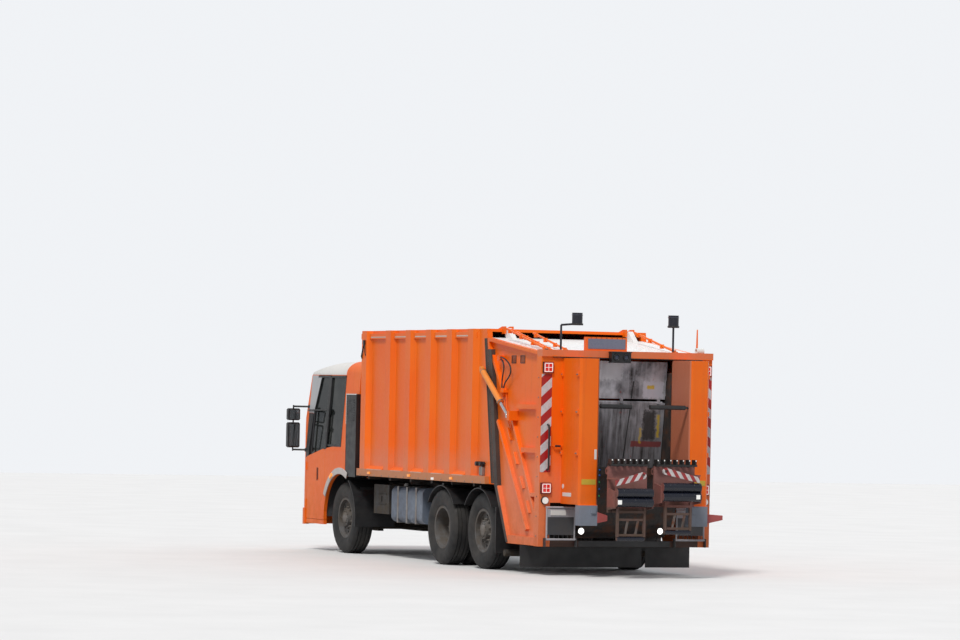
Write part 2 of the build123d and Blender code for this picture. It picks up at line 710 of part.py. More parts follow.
def build_cab():
    outer = cab_envelope(0.0)
    inner = cab_envelope(CAB_WALL)
    hollow = inner + Pos(0, 0, -200) * inner
    skin = outer - hollow
    arch = Pos(FRONT_AXLE_X, 0, AXLE_Z) * Rot(90, 0, 0) * Cylinder(ARCH_R, 3 * BODY_HALF)
    shell = skin - arch
    shell -= box(CAB_REAR - 10, FRONT_AXLE_X - 300, -CAB_WIDE, CAB_WIDE, 0, 1120)
    shell -= side_cutter(grow(DOOR_OUTLINE, MOVING_GAP))
    shell -= side_cutter(QUARTER_WINDOW)
    shell -= screen_cutter(0.0)
    for recess in pair(box(CAB_REAR - 10, STACK_FRONT, STACK_IN, CAB_WIDE, 1000, STACK_TOP)):
        shell -= recess
    shell -= box(CAB_REAR, DOOR_FRONT + 20, -900, 900, 0, FLOOR_LOW_Z - CAB_FLOOR_T)

    left_half = box(CAB_REAR, CAB_FRONT, 0, CAB_WIDE, 0, CAB_ROOF_REAR_Z)
    door = skin & side_cutter(DOOR_OUTLINE) & left_half
    door -= side_cutter(DOOR_WINDOW)
    door -= box(8300, 8360, BODY_HALF - 22, CAB_WIDE, 1050, 1230)
    hinge_plates = []
    for z in DOOR_HINGE_Z:
        spot = Pos(DOOR_PIN_X, DOOR_PIN_Y, z)
        middle = spot * Cylinder(DOOR_KNUCKLE_R, 40)
        clear = DOOR_KNUCKLE_R + 5.0
        shell -= spot * Cylinder(clear, 42)
        shell -= other_side(spot * Cylinder(clear, 42))
        ends = spot * Cylinder(DOOR_KNUCKLE_R, 120) - spot * Cylinder(clear, 42)
        door -= spot * Cylinder(clear, 122) - spot * Cylinder(clear, 40)
        door += middle
        door -= spot * Cylinder(6 + PIN_GAP, 200)
        hinge_plates.append(ends + spot * Cylinder(6, 120))
    save("door_left", door)
    save("door_right", other_side(door))

    crown_x = QUARTER_REAR - 20 - ROOF_REAR_R
    roof_zone = box(crown_x, CAB_FRONT, -CAB_WIDE, CAB_WIDE, ROOF_EDGE_Z, CAB_ROOF_REAR_Z + 50)
    rear_round = Pos(crown_x, 0, ROOF_EDGE_Z) * Rot(90, 0, 0) * Cylinder(ROOF_REAR_R, 3 * BODY_HALF)
    roof_zone -= rear_round
    front_zone = box(DOOR_FRONT + MOVING_GAP, CAB_FRONT, -CAB_WIDE, CAB_WIDE, 0, SCREEN_FOOT[1])
    save("cab_roof", shell & roof_zone)
    save_front_panel((shell & front_zone) + bumper(), hinge_plates)

    top = CAB_ROOF_REAR_Z
    side = box(CAB_REAR, PILLAR_X, CAB_SPLIT, CAB_WIDE, 0, top)
    side += box(PILLAR_X, CAB_FRONT, SCREEN_TOP_HALF, CAB_WIDE, 0, top)
    inside_x = CAB_REAR + CAB_WALL
    rear = box(CAB_REAR, inside_x, -CAB_SPLIT, CAB_SPLIT, 0, top)
    crown = box(inside_x, PILLAR_X, -CAB_SPLIT, CAB_SPLIT, 0, top)
    header = box(PILLAR_X, CAB_FRONT, -SCREEN_TOP_HALF, SCREEN_TOP_HALF, 0, top)
    walls = zones_of(shell - roof_zone - front_zone, pair(side) + [rear, crown, header])
    save("cab_shell", walls)

    glass_out = cab_envelope(CAB_WALL * 0.4)
    glass_in = cab_envelope(CAB_WALL * 0.4 + GLASS_T)
    glass = glass_out - glass_in
    door_glass = glass & side_cutter(grow(DOOR_WINDOW, -SEAT_GAP)) & left_half
    save("door_glass_left", door_glass)
    save("door_glass_right", other_side(door_glass))
    quarter = glass & side_cutter(grow(QUARTER_WINDOW, -SEAT_GAP))
    screen = glass & screen_cutter(SEAT_GAP)
    z0, z1 = LAMP_Z
    lens = box(CAB_FRONT - 50, CAB_FRONT - 16, LAMP_IN + 2, LAMP_OUT - 2, z0 + 2, z1 - 2)
    save("cab_glass", [quarter, screen] + pair(lens))

    half = BODY_HALF
    riser = FRONT_AXLE_X + ARCH_R + 20
    low_z = FLOOR_LOW_Z - CAB_FLOOR_T
    high_z = FLOOR_HIGH_Z - CAB_FLOOR_T
    floor = box(riser, DROP_FRONT, -half, half, low_z, FLOOR_LOW_Z)
    floor += box(CAB_REAR, riser + 60, -half, half, high_z, FLOOR_HIGH_Z)
    floor += box(riser, riser + 60, -half, half, low_z, high_z)
    floor &= cab_envelope(CAB_WALL + SEAT_GAP)
    floor -= Pos(FRONT_AXLE_X, 0, AXLE_Z) * Rot(90, 0, 0) * Cylinder(ARCH_R - 10, 3 * BODY_HALF)
    for notch in pair(box(CAB_REAR, STACK_FRONT + 10, STACK_IN - 10, CAB_WIDE, 1000, STACK_TOP)):
        floor -= notch
    save("cab_floor", floor)

    dash_top = [(8960, 1330), (8740, 1350), (8600, 1300)]
    dash_half = BODY_HALF - 150
    dash = prism_y([(8560, DASH_Z), (8960, DASH_Z)] + dash_top, -dash_half, dash_half)
    dash += box(8840, 8960, 200 - dash_half, dash_half - 200, FLOOR_LOW_Z, DASH_Z)
    dash &= cab_envelope(CAB_WALL + SEAT_GAP)
    centre = Pos(8480, 560, 1330) * Rot(0, -25, 0)
    wheel = centre * (Cylinder(228, 24) - Cylinder(204, 30))
    wheel += centre * Box(30, 420, 14)
    wheel += rod((8480, 560, 1330), (8600, 560, 1210), 28)
    save("dashboard", dash + wheel)

    seats = []
    for y in (560.0, -560.0):
        seat = box(7620, 8120, y - 250, y + 250, FLOOR_HIGH_Z + 150, FLOOR_HIGH_Z + 260)
        seat += prism_y(
            [
                (7560, FLOOR_HIGH_Z + 200),
                (7680, FLOOR_HIGH_Z + 200),
                (7580, FLOOR_HIGH_Z + 950),
                (7480, FLOOR_HIGH_Z + 950),
            ],
            y - 230,
            y + 230,
        )
        seat += box(7700, 8040, y - 160, y + 160, FLOOR_HIGH_Z, FLOOR_HIGH_Z + 150)
        seats.append(seat)
    save("seats", seats)

    save("intake_stack", pair(box(CAB_REAR - 30, STACK_FRONT, STACK_IN, BODY_HALF - 4, 1130, STACK_TOP)))


def save_front_panel(panel, hinge_plates):
    """The front panel in its middle and two corners, with grille slots and lamp pockets."""
    flat = BODY_HALF - CAB_CORNER_R
    z0, z1 = LAMP_Z
    for pocket in pair(box(CAB_FRONT - 50, CAB_FRONT + 10, LAMP_IN, LAMP_OUT, z0, z1)):
        panel -= pocket
    for z in (880.0, 950.0, 1020.0, 1090.0):
        for slot in pair(box(CAB_FRONT - 120, CAB_FRONT + 10, 25, 560, z, z + 42)):
            panel -= slot
    for plate in hinge_plates:
        panel = panel + plate + other_side(plate)
    front = DOOR_FRONT - 50
    middle = box(front, CAB_FRONT + 50, -flat, flat, 0, SCREEN_FOOT[1])
    corner = box(front, CAB_FRONT + 50, flat, CAB_WIDE, 0, SCREEN_FOOT[1])
    save("front_panel", zones_of(panel, [middle] + pair(corner)))


def bumper():
    """The front skirt under the lamps, standing proud of the panel above it."""
    skirt = cab_envelope(-BUMPER_T) - cab_envelope(CAB_WALL)
    skirt -= Pos(0, 0, -200) * cab_envelope(CAB_WALL)
    return skirt & box(DOOR_FRONT + MOVING_GAP, CAB_FRONT + 50, -CAB_WIDE, CAB_WIDE, 300, 620)


def build_mirrors():
    """Two stacked glasses on each side, on a loop of tube from the windscreen pillar."""
    x = MIRROR_X
    head = box(x - 40, x + 40, MIRROR_IN, MIRROR_OUT, 1520, 1900)
    head += box(x - 40, x + 40, MIRROR_IN, MIRROR_OUT, 1930, 2110)
    head = chamfer(head.edges().filter_by(Axis.X), (MIRROR_OUT - MIRROR_IN) * 0.1)
    mid = (MIRROR_IN + MIRROR_OUT) / 2
    for z in (1490, 2140):
        head += rod((8850, BODY_HALF - 100, z), (x, mid, z), 14)
    head += rod((x, mid, 1470), (x, mid, 2160), 11)
    save("mirrors", pair(head - cab_envelope(-SEAT_GAP)))


# Container
def seam_x(z):
    """The station of the container's slanted rear edge at a height."""
    slope = (SEAM_TOP_X - SEAM_KINK_X) / (3160.0 - SEAM_KINK_Z)
    return SEAM_KINK_X + slope * (z - SEAM_KINK_Z)


RIB_STATIONS = [2440.0, 3210.0, 3985.0, 4760.0, 5535.0, 6485.0]


def build_container():
    top = CONTAINER_TOP - ROOF_T
    rail_top = FLOOR_Z + SIDE_RAIL_H
    side = prism_y(
        [
            (seam_x(FLOOR_Z) + REAR_FRAME_W, FLOOR_Z),
            (CONTAINER_FRONT, FLOOR_Z),
            (CONTAINER_FRONT, top),
            (seam_x(top) + REAR_FRAME_W, top),
        ],
        SKIN_HALF - SKIN_T,
        SKIN_HALF,
    )
    side += box(1800, CONTAINER_FRONT, SKIN_HALF, BODY_HALF, FLOOR_Z, rail_top) & prism_y(
        [
            (seam_x(FLOOR_Z) + REAR_FRAME_W, FLOOR_Z),
            (CONTAINER_FRONT, FLOOR_Z),
            (CONTAINER_FRONT, rail_top),
            (seam_x(rail_top) + REAR_FRAME_W, rail_top),
        ],
        0,
        BODY_HALF,
    )
    side += box(2300, CONTAINER_FRONT, SKIN_HALF, SKIN_HALF + 35, 3140, top)
    for x in RIB_STATIONS:
        rib = prism_z(
            [
                (x - RIB_BASE / 2, SKIN_HALF),
                (x - RIB_FACE / 2, BODY_HALF),
                (x + RIB_FACE / 2, BODY_HALF),
                (min(x + RIB_BASE / 2, CONTAINER_FRONT), SKIN_HALF),
            ],
            rail_top,
            CONTAINER_TOP,
        )
        side += rib
    for near, far in zip(RIB_STATIONS[:-1], RIB_STATIONS[1:]):
        foot = near + RIB_BASE / 2 + 5
        end = far - RIB_BASE / 2 - 5
        wedge = prism_x(
            [(SKIN_HALF, rail_top), (BODY_HALF, rail_top), (SKIN_HALF, rail_top + 45)], foot, end
        )
        side += wedge
    save("container_sides", pair(side))

    roof = box(seam_x(CONTAINER_TOP), CONTAINER_FRONT, -SKIN_HALF, SKIN_HALF, top, CONTAINER_TOP)
    roof -= prism_y(
        [
            (1500, top - 10),
            (seam_x(top - 10) + REAR_FRAME_W, top - 10),
            (seam_x(CONTAINER_TOP + 10) + REAR_FRAME_W, CONTAINER_TOP + 10),
            (1500, CONTAINER_TOP + 10),
        ],
        -1300,
        1300,
    )
    save("container_roof", roof)
    inner = SKIN_HALF - SKIN_T
    floor = prism_y(
        [
            (seam_x(FLOOR_Z) + REAR_FRAME_W, FLOOR_Z),
            (CONTAINER_FRONT, FLOOR_Z),
            (CONTAINER_FRONT, FLOOR_Z + FLOOR_T),
            (seam_x(FLOOR_Z + FLOOR_T) + REAR_FRAME_W, FLOOR_Z + FLOOR_T),
        ],
        -inner,
        inner,
    )
    save("container_floor", floor)
    front = box(
        CONTAINER_FRONT - 40, CONTAINER_FRONT, -inner, inner, FLOOR_Z + FLOOR_T, top
    )
    save("container_front", front)

    profile = [
        (seam_x(FLOOR_Z), FLOOR_Z),
        (seam_x(FLOOR_Z) + REAR_FRAME_W, FLOOR_Z),
        (seam_x(CONTAINER_TOP) + REAR_FRAME_W, CONTAINER_TOP),
        (seam_x(CONTAINER_TOP), CONTAINER_TOP),
    ]
    portal = prism_y(profile, -REAR_FRAME_HALF, REAR_FRAME_HALF)
    portal -= box(1000, 3000, 60 - inner, inner - 60, FLOOR_Z + FLOOR_T, top)
    for side in (1, -1):
        for y in (HINGE_Y - 55, HINGE_Y + 55):
            low, high = sorted((side * (y - 12), side * (y + 12)))
            ear = prism_y(
                [
                    (seam_x(CONTAINER_TOP) + 5, CONTAINER_TOP),
                    (seam_x(CONTAINER_TOP) + 150, CONTAINER_TOP),
                    (HINGE_X + 50, HINGE_Z + 60),
                    (HINGE_X - 45, HINGE_Z + 60),
                    (HINGE_X - 45, HINGE_Z - 40),
                    (seam_x(CONTAINER_TOP) + 5, HINGE_Z - 40),
                ],
                low,
                high,
            )
            portal += ear
        low, high = sorted((side * (HINGE_Y - 67), side * (HINGE_Y + 67)))
        portal += rod((HINGE_X, low, HINGE_Z), (HINGE_X, high, HINGE_Z), HINGE_PIN_R)
        px, pz = BARREL_PIN
        inside = side * (REAR_FRAME_HALF - 10)
        outside = side * (LIFT_Y + LIFT_EYE_W / 2)
        portal += rod((px, inside, pz), (px, outside, pz), LIFT_PIN_R)
    save("rear_frame", portal)

    plate = prism_y(
        [(6180, 1215), (6230, 1215), (6560, 3195), (6510, 3195)], -inner + 8, inner - 8
    )
    for y in (-900, 840):
        plate += box(6190, 6540, y, y + 60, FLOOR_Z + FLOOR_T + SEAT_GAP, 1400)
    save("ejector_plate", plate)


# Tailgate
def tg_top_z(x):
    """The height of the tailgate's sloping top at a station."""
    front = seam_x(TG_TOP_FRONT_Z) - 15
    return TG_TOP_REAR_Z + (TG_TOP_FRONT_Z - TG_TOP_REAR_Z) * x / front


def build_tailgate():
    gap = 8.0
    top_front = (seam_x(TG_TOP_FRONT_Z) - gap, TG_TOP_FRONT_Z)
    kink = (SEAM_KINK_X - gap, SEAM_KINK_Z)
    belly = (TG_BOTTOM_FRONT_X, TG_BOTTOM_Z)
    outline = [
        (POST_DEPTH, TG_BOTTOM_Z),
        belly,
        (seam_x(FLOOR_Z) - 90, FLOOR_Z - 30),
        (seam_x(FLOOR_Z) - gap, FLOOR_Z + 20),
        kink,
        top_front,
        (POST_DEPTH, tg_top_z(POST_DEPTH)),
    ]
    y0 = TG_PLATE_HALF - TG_PLATE_T
    side = prism_y(outline, y0, TG_PLATE_HALF)
    # frame bars on the plate: from (x, z), to (x, z), width, outer y
    bars = [
        (top_front, (POST_DEPTH, tg_top_z(POST_DEPTH)), 90.0, TG_HALF),
        (top_front, kink, 80.0, TG_HALF),
        (kink, (seam_x(FLOOR_Z) - gap, FLOOR_Z + 20), 80.0, TG_HALF),
        ((seam_x(FLOOR_Z) - 90, FLOOR_Z - 30), belly, 80.0, TG_HALF),
        ((1970, 3040), (1430, 2350), 50.0, TG_HALF - 10),
        ((1620, 2020), (570, 580), 45.0, TG_HALF - 5),
        ((1110, 2030), (150, 570), 45.0, TG_HALF - 5),
        ((POST_DEPTH, 2215), (950, 2215), 65.0, TG_HALF),
        ((POST_DEPTH, 1640), (760, 1640), 65.0, TG_HALF),
        ((POST_DEPTH, 1055), (420, 1055), 50.0, TG_HALF),
        ((POST_DEPTH, 440), (1150, 440), 110.0, TG_HALF),
    ]
    zone = prism_y(outline, 0, 1300)
    for a, b, width, outer in bars:
        side += bar_y(a, b, width, TG_PLATE_HALF, outer) & zone
    for t in (0.12, 0.34, 0.56, 0.78):
        cx = 1365 - 1010 * t
        cz = 2025 - 1450 * t
        lug = bar_y((cx - 55, cz - 90), (cx + 55, cz + 70), 22.0, TG_PLATE_HALF, TG_HALF - 20)
        side += lug
    bx, bz = ROD_PIN
    side += box(bx - 120, bx - 40, TG_PLATE_HALF, LIFT_Y + 34, bz - 70, bz + 60)
    boss_end = LIFT_Y - LIFT_EYE_W / 2 - ROD_END_GAP
    side += rod((bx, TG_PLATE_HALF, bz), (bx, boss_end, bz), LIFT_PIN_R + 14)
    save("tailgate_sides", pair(side))

    roof_outline = [
        (POST_DEPTH + 5, tg_top_z(POST_DEPTH + 5)),
        (top_front[0] - 5, tg_top_z(top_front[0] - 5)),
        (top_front[0] - 5, tg_top_z(top_front[0] - 5) - 45),
        (POST_DEPTH + 5, tg_top_z(POST_DEPTH + 5) - 45),
    ]
    roof = prism_y(roof_outline, -y0, y0)
    for s in (1, -1):
        low, high = sorted((s * (HINGE_Y - 37), s * (HINGE_Y + 37)))
        arm = prism_y(
            [
                (HINGE_X - 260, tg_top_z(HINGE_X - 260) - 1),
                (HINGE_X - 20, tg_top_z(HINGE_X - 20) - 1),
                (HINGE_X + 32, HINGE_Z - 15),
                (HINGE_X + 32, HINGE_Z + 25),
                (HINGE_X - 60, HINGE_Z + 35),
            ],
            low,
            high,
        )
        roof += arm
        roof -= rod((HINGE_X, low - 1, HINGE_Z), (HINGE_X, high + 1, HINGE_Z), HINGE_PIN_R + PIN_GAP)
    save("tailgate_roof", roof)

    post = box(0, POST_DEPTH, POST_IN, POST_OUT, TG_BOTTOM_Z, BEAM_Z0)
    post += box(0, 12, CHEEK_IN + 20, POST_IN, 960, BEAM_Z0)
    post += rod((-40, POST_IN - 20, 1705), (-40, CHEEK_OUT + 20, 1705), 9)
    for y in (POST_IN - 20, CHEEK_OUT + 20):
        post += rod((-40, y, 1705), (5, y, 1705), 9)
    for y0, y1, end in ((STEP_OUT + 2, STEP_OUT + 18, -22), (STEP_IN - 18, STEP_IN - 2, 22)):
        post += box(STEP_X - 20, 5, y0, y1, TG_BOTTOM_Z, STEP_Z + 20)
        mid = (y0 + y1) / 2
        post += rod((STEP_X, mid, STEP_Z), (STEP_X, mid + end, STEP_Z), STEP_PIN_R)
    post += box(0, 100, 0, POST_IN, TG_BOTTOM_Z, TG_BOTTOM_Z + 80)
    posts = pair(post)
    beam = box(-30, POST_DEPTH, -POST_OUT, POST_OUT, BEAM_Z0, BEAM_Z1)
    save("rear_posts", [posts[0] + posts[1] + beam])

    cheek = box(CHEEK_REAR, -0.0, CHEEK_IN, CHEEK_OUT, CHEEK_Z0, CHEEK_Z1)
    cheek = chamfer(cheek.edges().filter_by(Axis.Z).sort_by(Axis.X)[:2], 30)
    cheek += box(-600, -470, 665, 925, 680, CHEEK_Z0)
    cheek += box(-620, -580, 690, 760, 840, 930)
    save("cheeks", pair(cheek))

    half = CHEEK_IN
    a0 = math.radians(200)
    arc_in = [
        (
            TROUGH_X + TROUGH_R * math.cos(a0 + math.radians(100) * k / 6),
            TROUGH_Z + TROUGH_R + TROUGH_R * math.sin(a0 + math.radians(100) * k / 6),
        )
        for k in range(7)
    ]
    path = [(-560.0, SILL_Z), (-540.0, 1350.0)] + arc_in + [(1540.0, THROAT_Z)]
    upper = [(x, z) for x, z in path]
    lower = offset_path(upper, TROUGH_T)
    trough = prism_y(upper + lower[::-1], -half, half)
    wall_profile = [(x, z) for x, z in upper] + [(1540, 2700), (0, 2700), (0, SILL_Z)]
    wall = prism_y(wall_profile, half - TROUGH_T, half)
    trough += wall + other_side(wall)
    px, pz = LIFT_PIVOT_X, LIFT_PIVOT_Z
    for span in (LIFTER_LEFT_Y, LIFTER_RIGHT_Y):
        for y in lug_places(*span):
            trough += box(px - 40, -560, y - 26, y - 6, pz - 45, pz + 40)
            trough += rod((px, y - 26, pz), (px, y + LUG_T, pz), LIFT_PIVOT_R)
    save("hopper_trough", trough)

    rollers = []
    for y0r, y1r in ((170, 615), (-605, -95)):
        rollers.append(rod((-520, y0r, 2240), (-520, y1r, 2240), 30))
    rollers[0] += rod((-520, 600, 2240), (-520, CHEEK_IN, 2240), 15)
    rollers[1] += rod((-520, -CHEEK_IN, 2240), (-520, -590, 2240), 15)
    save("buffer_rollers", rollers)

    lamps = []
    for s in (1, -1):
        for z in (2735, 1150):
            low, high = sorted((s * (POST_IN + 5), s * (POST_OUT - 25)))
            lamps.append(box(-35, 0, low, high, z - 65, z + 65))
        lamp_y = s * (POST_IN + 80)
        lamps.append(rod((-30, lamp_y, 990), (0, lamp_y, 990), 45))
    save("rear_lamps", lamps)

    gear = box(30, 110, 0, 590, BEAM_Z1, 3150)
    camera = box(-130, -30, 10, 290, 2815, 2960)
    stem_left = rod((90, 930, BEAM_Z1), (90, 930, 3300), 14)
    stem_left += rod((90, 930, 3300), (90, 700, 3320), 14)
    stem_left += Pos(90, 700, 3390) * Cylinder(70, 150)
    stem_right = rod((90, -700, BEAM_Z1), (90, -700, 3320), 14)
    stem_right += Pos(90, -700, 3390) * Cylinder(70, 150)
    save("roof_gear", [gear, camera, stem_left, stem_right])


def offset_path(points, by):
    """A polyline shifted sideways by a distance, to the right of its run."""
    out = []
    for k, (x, z) in enumerate(points):
        ax, az = points[max(k - 1, 0)]
        bx, bz = points[min(k + 1, len(points) - 1)]
        run = Vector(bx - ax, bz - az).normalized()
        out.append((x + run.Y * by, z - run.X * by))
    return out


def build_packer():
    bx, bz = BLADE_PIN
    lean = math.radians(BLADE_LEAN)
    top_x = bx - (CARRIAGE_TOP_Z - bz) * math.tan(lean)
    carriage = prism_y(
        [
            (bx - PACK_T / 2, bz + 45),
            (bx + PACK_T / 2, bz + 45),
            (top_x + PACK_T / 2, CARRIAGE_TOP_Z),
            (top_x - PACK_T / 2, CARRIAGE_TOP_Z),
        ],
        -PACK_HALF,
        PACK_HALF,
    )
    for y in (-560, -20, 520):
        carriage += box(bx - 22, bx + 22, y, y + 40, bz - 20, bz + 60)
    carriage += rod((bx, -600, bz), (bx, 600, bz), 16)
    pad_end = CHEEK_IN - TROUGH_T - SEAT_GAP
    for z in (bz + 90, bz + 300):
        pad_x = bx - (z - bz) * math.tan(lean)
        carriage += box(pad_x - 15, pad_x + 15, -pad_end, pad_end, z, z + 80)
    save("carriage", carriage)
    tip_x = bx + BLADE_LEN * math.sin(lean)
    tip_z = bz - BLADE_LEN * math.cos(lean)
    blade = bar_y((bx, bz - 30), (tip_x, tip_z), PACK_T, -PACK_HALF, PACK_HALF)
    blade += bar_y((bx, bz), (bx + 10, bz - 70), 50, -PACK_HALF, PACK_HALF)
    for y in (-560, -20, 520):
        blade -= box(bx - 60, bx + 60, y - 6, y + 46, bz - 80, bz + 80)
    blade -= rod((bx, -700, bz), (bx, 700, bz), 16 + PIN_GAP)
    save("packer_blade", blade)


def lifter(y0, y1, drop, ladder_y, ladder_z, arm_pin):
    """One bin lifter: pivot lugs, comb, two rubber rollers and the ladder under them.

    y0 and y1 bound it, drop lowers its rollers, ladder_y and ladder_z bound its ladder,
    arm_pin is the (y, z) of the top of the folding arm's root.
    """
    px, pz = LIFT_PIVOT_X, LIFT_PIVOT_Z
    face = LIFTER_PLATE_X
    lz0, lz1 = ladder_z
    ly0, ly1 = ladder_y
    frame = box(face, face + 30, y0 + 20, y1 - 20, lz1 + 60, COMB_Z + 20)
    for y in lug_places(y0, y1):
        lug = box(face + 10, px, y, y + LUG_T, pz - 45, pz + 20)
        lug += rod((px, y, pz), (px, y + LUG_T, pz), 45)
        lug -= rod((px, y - 1, pz), (px, y + LUG_T + 1, pz), LIFT_PIVOT_R + PIN_GAP)
        frame += lug
    count = 7
    for k in range(count):
        y = y0 + 30 + (y1 - y0 - 80) * k / (count - 1)
        frame += box(face - 80, face + 30, y, y + 20, COMB_Z, COMB_Z + 80)
    frame += box(face - 80, face - 50, y0 + 20, y1 - 20, COMB_Z - 10, COMB_Z + 15)
    arm_z = 1200 - drop
    for y in (y0 + 20, y1 - 40):
        frame += prism_y(
            [
                (face + 20, arm_z + 60),
                (ROLLER_X, arm_z + 15),
                (ROLLER_X, arm_z - 200),
                (face + 20, arm_z - 230),
            ],
            y,
            y + 20,
        )
    for y in (ly0, ly1 - 30):
        frame += box(-1010, -970, y, y + 30, lz0, lz1 + 130)
    frame += box(-1000, -980, ly0, ly1, lz0 + 10, lz0 + 40)
    frame += box(-1000, -980, ly0, ly1, lz1 - 40, lz1 - 10)
    frame += box(-1010, face + 20, ly0 + 10, ly1 - 10, lz1 + 60, lz1 + 90)
    ay, az = arm_pin
    frame += box(ARM_PIN_X - 20, face + 20, ay - 18, ay + 18, az + 9, az + 29)
    frame += rod((ARM_PIN_X, ay, az + 10), (ARM_PIN_X, ay, az - 66), ARM_PIN_R)
    pieces = [frame]
    for z in (arm_z, arm_z - 120):
        pieces.append(rod((ROLLER_X, y0 + 40 + SEAT_GAP, z), (ROLLER_X, y1 - 40 - SEAT_GAP, z), ROLLER_R))
    low = lz0 - 25 - SEAT_GAP
    pieces.append(rod((-990, ly0 + 5, low), (-990, ly1 - 5, low), 25))
    return pieces


def lug_places(y0, y1):
    """Where a lifter's two pivot lugs start."""
    return (y0 + 60, y1 - 60 - LUG_T)


LIFTER_LEFT_Y = (45.0, 640.0)
LIFTER_RIGHT_Y = (-640.0, -15.0)
# root (y, z), tip (y, z) of each folding arm's middle line
ARM_LEFT = ((612.0, 1250.0), (240.0, 1350.0))
ARM_RIGHT = ((-560.0, 1302.0), (-90.0, 1410.0))
ARM_HALF = 36.0


def build_lifters():
    (ly, lz), (ry, rz) = ARM_LEFT[0], ARM_RIGHT[0]
    left = lifter(
        *LIFTER_LEFT_Y, LIFTER_DROP, (160, 570), (550, 800), (ly, lz + ARM_HALF)
    )
    right = lifter(*LIFTER_RIGHT_Y, 0, (-500, -110), (640, 880), (ry, rz + ARM_HALF))
    save("lifter_left", left)
    save("lifter_right", right)
    save("arm_left", folding_arm(*ARM_LEFT))
    save("arm_right", folding_arm(*ARM_RIGHT))


def folding_arm(root, tip):
    """A striped container arm folded in across its lifter, with an eye at its tip."""
    (ry, rz), (ty, tz) = root, tip
    x0 = ARM_PIN_X - ARM_T / 2
    x1 = ARM_PIN_X + ARM_T / 2
    arm = prism_x(
        [(ry, rz - ARM_HALF), (ty, tz - 45), (ty, tz + 45), (ry, rz + ARM_HALF)], x0, x1
    )
    boss = Pos(ARM_PIN_X, ry, rz) * Cylinder(18, 2 * ARM_HALF)
    arm += boss
    arm += rod((x0, ty, tz), (x1, ty, tz), 45)
    arm -= rod((x0 - 1, ty, tz), (x1 + 1, ty, tz), 22)
    arm -= Pos(ARM_PIN_X, ry, rz) * Cylinder(ARM_PIN_R + PIN_GAP, 200)
    return arm


def build_cylinders():
    (ax, az), (bx, bz) = BARREL_PIN, ROD_PIN
    run = Vector(bx - ax, 0, bz - az)
    unit = run.normalized()
    start = Vector(ax, LIFT_Y, az)

    def at(distance):
        point = start + unit * distance
        return (point.X, point.Y, point.Z)

    barrel = rod(at(55), at(BARREL_LEN), BARREL_R)
    barrel += rod(
        (ax, LIFT_Y - LIFT_EYE_W / 2, az), (ax, LIFT_Y + LIFT_EYE_W / 2, az), LIFT_EYE_R
    )
    barrel += rod(at(20), at(60), 24)
    barrel -= rod((ax, 1100, az), (ax, 1400, az), LIFT_PIN_R + PIN_GAP)
    barrel -= rod(at(90), at(BARREL_LEN + 5), ROD_R + PIN_GAP)
    save("lift_barrels", pair(barrel))
    length = run.length
    ram = rod(at(110), at(length - 20), ROD_R)
    ram += rod(
        (bx, LIFT_Y - LIFT_EYE_W / 2, bz), (bx, LIFT_Y + LIFT_EYE_W / 2, bz), LIFT_EYE_R
    )
    cap = LIFT_Y + LIFT_EYE_W / 2
    ram += rod((bx, cap - 5, bz), (bx, cap + 8, bz), LIFT_PIN_R)
    save("lift_rods", pair(ram))


def build_steps():
    """A folding step on each side, stowed upright with its grating to the rear."""
    inner = STEP_IN + STEP_TUBE_R
    outer = STEP_OUT - STEP_TUBE_R
    step = rod((STEP_X, STEP_IN, STEP_Z), (STEP_X, STEP_OUT, STEP_Z), STEP_TUBE_R)
    step += rod((STEP_X, STEP_IN, STEP_TOP), (STEP_X, STEP_OUT, STEP_TOP), STEP_TUBE_R)
    for y in (inner, outer):
        step += rod((STEP_X, y, STEP_Z), (STEP_X, y, STEP_TOP), STEP_POST_R)
    step += box(STEP_X - 5, STEP_X + 5, inner, outer, STEP_Z + 60, STEP_TOP - 20)
    bore = STEP_PIN_R + PIN_GAP
    for y0, y1 in ((STEP_IN - 1, STEP_IN + 25), (STEP_OUT - 25, STEP_OUT + 1)):
        step -= rod((STEP_X, y0, STEP_Z), (STEP_X, y1, STEP_Z), bore)
    save("step_left", step)
    save("step_right", other_side(step))


build_wheels()
build_chassis()
build_axles()
build_steering()
build_underbody()
build_mudguards()
build_cab()
build_mirrors()
build_container()
build_tailgate()
build_packer()
build_lifters()
build_cylinders()
build_steps()
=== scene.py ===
from math import atan2, cos, radians, sin, tau

import bmesh
import bpy
from mathutils import Matrix, Quaternion, Vector


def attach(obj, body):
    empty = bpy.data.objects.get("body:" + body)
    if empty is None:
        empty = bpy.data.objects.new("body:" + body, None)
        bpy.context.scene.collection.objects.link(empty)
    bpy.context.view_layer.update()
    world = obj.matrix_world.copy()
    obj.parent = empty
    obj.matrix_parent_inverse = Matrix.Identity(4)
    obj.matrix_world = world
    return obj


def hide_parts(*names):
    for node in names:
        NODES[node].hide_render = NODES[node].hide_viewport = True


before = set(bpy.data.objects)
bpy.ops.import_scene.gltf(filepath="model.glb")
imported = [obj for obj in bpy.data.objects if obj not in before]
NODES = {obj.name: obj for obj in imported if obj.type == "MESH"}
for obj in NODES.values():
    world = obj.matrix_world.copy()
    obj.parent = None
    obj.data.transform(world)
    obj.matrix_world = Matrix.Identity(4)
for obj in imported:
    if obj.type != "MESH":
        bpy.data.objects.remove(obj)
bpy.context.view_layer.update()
ORIGIN_X = 3.995
SCENE = bpy.context.scene
SIDES = (("left", 1), ("right", -1))

# Main sizes that the pieces share
BODY_HALF = 1.25
SHOULDER_Z = 1.5
ROOF_EDGE_Z = 2.612
CAB_LEAN = (BODY_HALF - 1.17) / (ROOF_EDGE_Z - SHOULDER_Z)
TYRE_R = 0.52
FRONT_AXLE_X = 7.39


